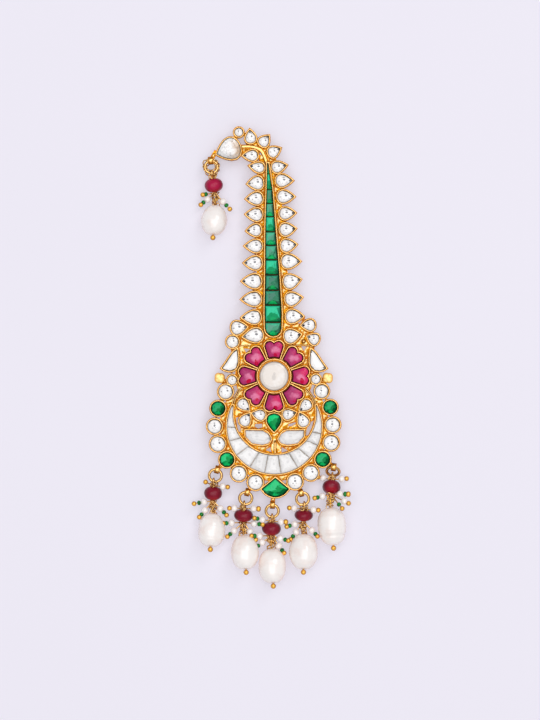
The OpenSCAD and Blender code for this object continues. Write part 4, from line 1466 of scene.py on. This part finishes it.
def wires_of(i, ruby):
    """The start and the end of each seed wire of one drop, from the CAD's pin."""
    points = points_of(f"bead_pin_{i}")
    made = []
    for side in (-1, 1):
        start = ruby.centre + side * ruby.axis * (ruby.length / 2 + 0.25)
        away = points - start
        flat = np.linalg.norm(away[:, :2], axis=1)
        off = np.linalg.norm(away - np.outer(away @ ruby.axis, ruby.axis), axis=1)
        far = (off > WIRE_FROM) & (flat < WIRE_TO) & (side * ((points - ruby.centre) @ ruby.axis) > -WIRE_BACK)
        bearings = np.degrees(np.arctan2(away[far][:, 1], away[far][:, 0])) % 360
        order = np.argsort(bearings, kind="stable")
        rows, angles = points[far][order], bearings[order]
        breaks = np.where(np.diff(angles) > WIRE_TURN)[0] + 1
        groups = np.split(np.arange(len(order)), breaks) if len(order) else []
        for group in groups:
            cluster = rows[group]
            reach = np.linalg.norm(cluster[:, :2] - start[:2], axis=1)
            if reach.max() < WIRE_LEAST:
                continue
            end = cluster[reach > reach.max() - WIRE_END].mean(axis=0)
            made.append((start, end))
    return made


class KALGI_OT_stage(bpy.types.Operator):
    """Lays the floor and sets the lights and the camera"""
    bl_idname = "kalgi.stage"
    bl_label = "Floor, lights and camera"

    def execute(self, context):
        s = stage_sizes()
        scene = context.scene
        mesh = bpy.data.meshes.new("floor")
        corners = [(-1, -1), (1, -1), (1, 1), (-1, 1)]
        mesh.from_pydata([(FLOOR_HALF * x, FLOOR_HALF * y, 0) for x, y in corners], [], [(0, 1, 2, 3)])
        mesh.materials.append(floor_finish())
        floor = bpy.data.objects.new("floor", mesh)
        floor.location.z = -FLOOR_DROP
        scene.collection.objects.link(floor)
        world = bpy.data.worlds.new("soft_room")
        world.use_nodes = True
        world.node_tree.nodes["Background"].inputs["Color"].default_value = (0.9, 0.89, 0.91, 1)
        world.node_tree.nodes["Background"].inputs["Strength"].default_value = s.room
        scene.world = world
        scene.view_settings.view_transform = "Standard"
        for (name, place, side, tint), power in zip(LAMPS, (s.key_power, s.roof_power, s.fill_power)):
            light = bpy.data.lights.new(name, "AREA")
            light.size, light.energy, light.color = side, power, tint
            lamp = bpy.data.objects.new(name, light)
            lamp.location = place
            lamp.rotation_euler = (-Vector(place)).to_track_quat("-Z", "Y").to_euler()
            scene.collection.objects.link(lamp)
        data = bpy.data.cameras.new("camera")
        data.sensor_fit, data.sensor_height = "VERTICAL", 36.0
        data.lens = data.sensor_height * s.camera_height / (s.view_height / MM)
        camera = bpy.data.objects.new("camera", data)
        camera.location = (s.view_x / MM, s.view_y / MM, s.camera_height)
        scene.collection.objects.link(camera)
        scene.camera = camera
        return {"FINISHED"}


class KALGI_PT_panel(bpy.types.Panel):
    """Lists the steps that build the brooch"""
    bl_label = "Kalgi turban brooch"
    bl_idname = "KALGI_PT_panel"
    bl_space_type = "VIEW_3D"
    bl_region_type = "UI"
    bl_category = "Kalgi"

    def draw(self, context):
        for group in ("kalgi_gold", "kalgi_stones", "kalgi_stage"):
            box = self.layout.box()
            holder = getattr(context.scene, group)
            for name in holder.__annotations__:
                box.prop(holder, name)
        for step in STEPS:
            self.layout.operator(step.bl_idname)


GROUPS = {"kalgi_gold": KALGI_PG_gold, "kalgi_stones": KALGI_PG_stones, "kalgi_stage": KALGI_PG_stage}
STEPS = [KALGI_OT_metal, KALGI_OT_rims, KALGI_OT_grains, KALGI_OT_trims, KALGI_OT_white_stones,
         KALGI_OT_centre, KALGI_OT_emeralds, KALGI_OT_petals, KALGI_OT_beads, KALGI_OT_wraps,
         KALGI_OT_seeds, KALGI_OT_stage]
CLASSES = [*GROUPS.values(), *STEPS, KALGI_PT_panel]


def register():
    """Adds the operators, the panel and the groups of values."""
    for item in CLASSES:
        bpy.utils.register_class(item)
    for name, group in GROUPS.items():
        setattr(bpy.types.Scene, name, PointerProperty(type=group))


def unregister():
    """Takes them away again."""
    for name in GROUPS:
        delattr(bpy.types.Scene, name)
    for item in reversed(CLASSES):
        bpy.utils.unregister_class(item)


def main():
    """Builds every piece in order."""
    register()
    bpy.ops.kalgi.metal()
    bpy.ops.kalgi.rims()
    bpy.ops.kalgi.grains()
    bpy.ops.kalgi.trims()
    bpy.ops.kalgi.white_stones()
    bpy.ops.kalgi.centre()
    bpy.ops.kalgi.emeralds()
    bpy.ops.kalgi.petals()
    bpy.ops.kalgi.beads()
    bpy.ops.kalgi.wraps()
    bpy.ops.kalgi.seeds()
    bpy.ops.kalgi.stage()


if __name__ == "__main__":
    main()
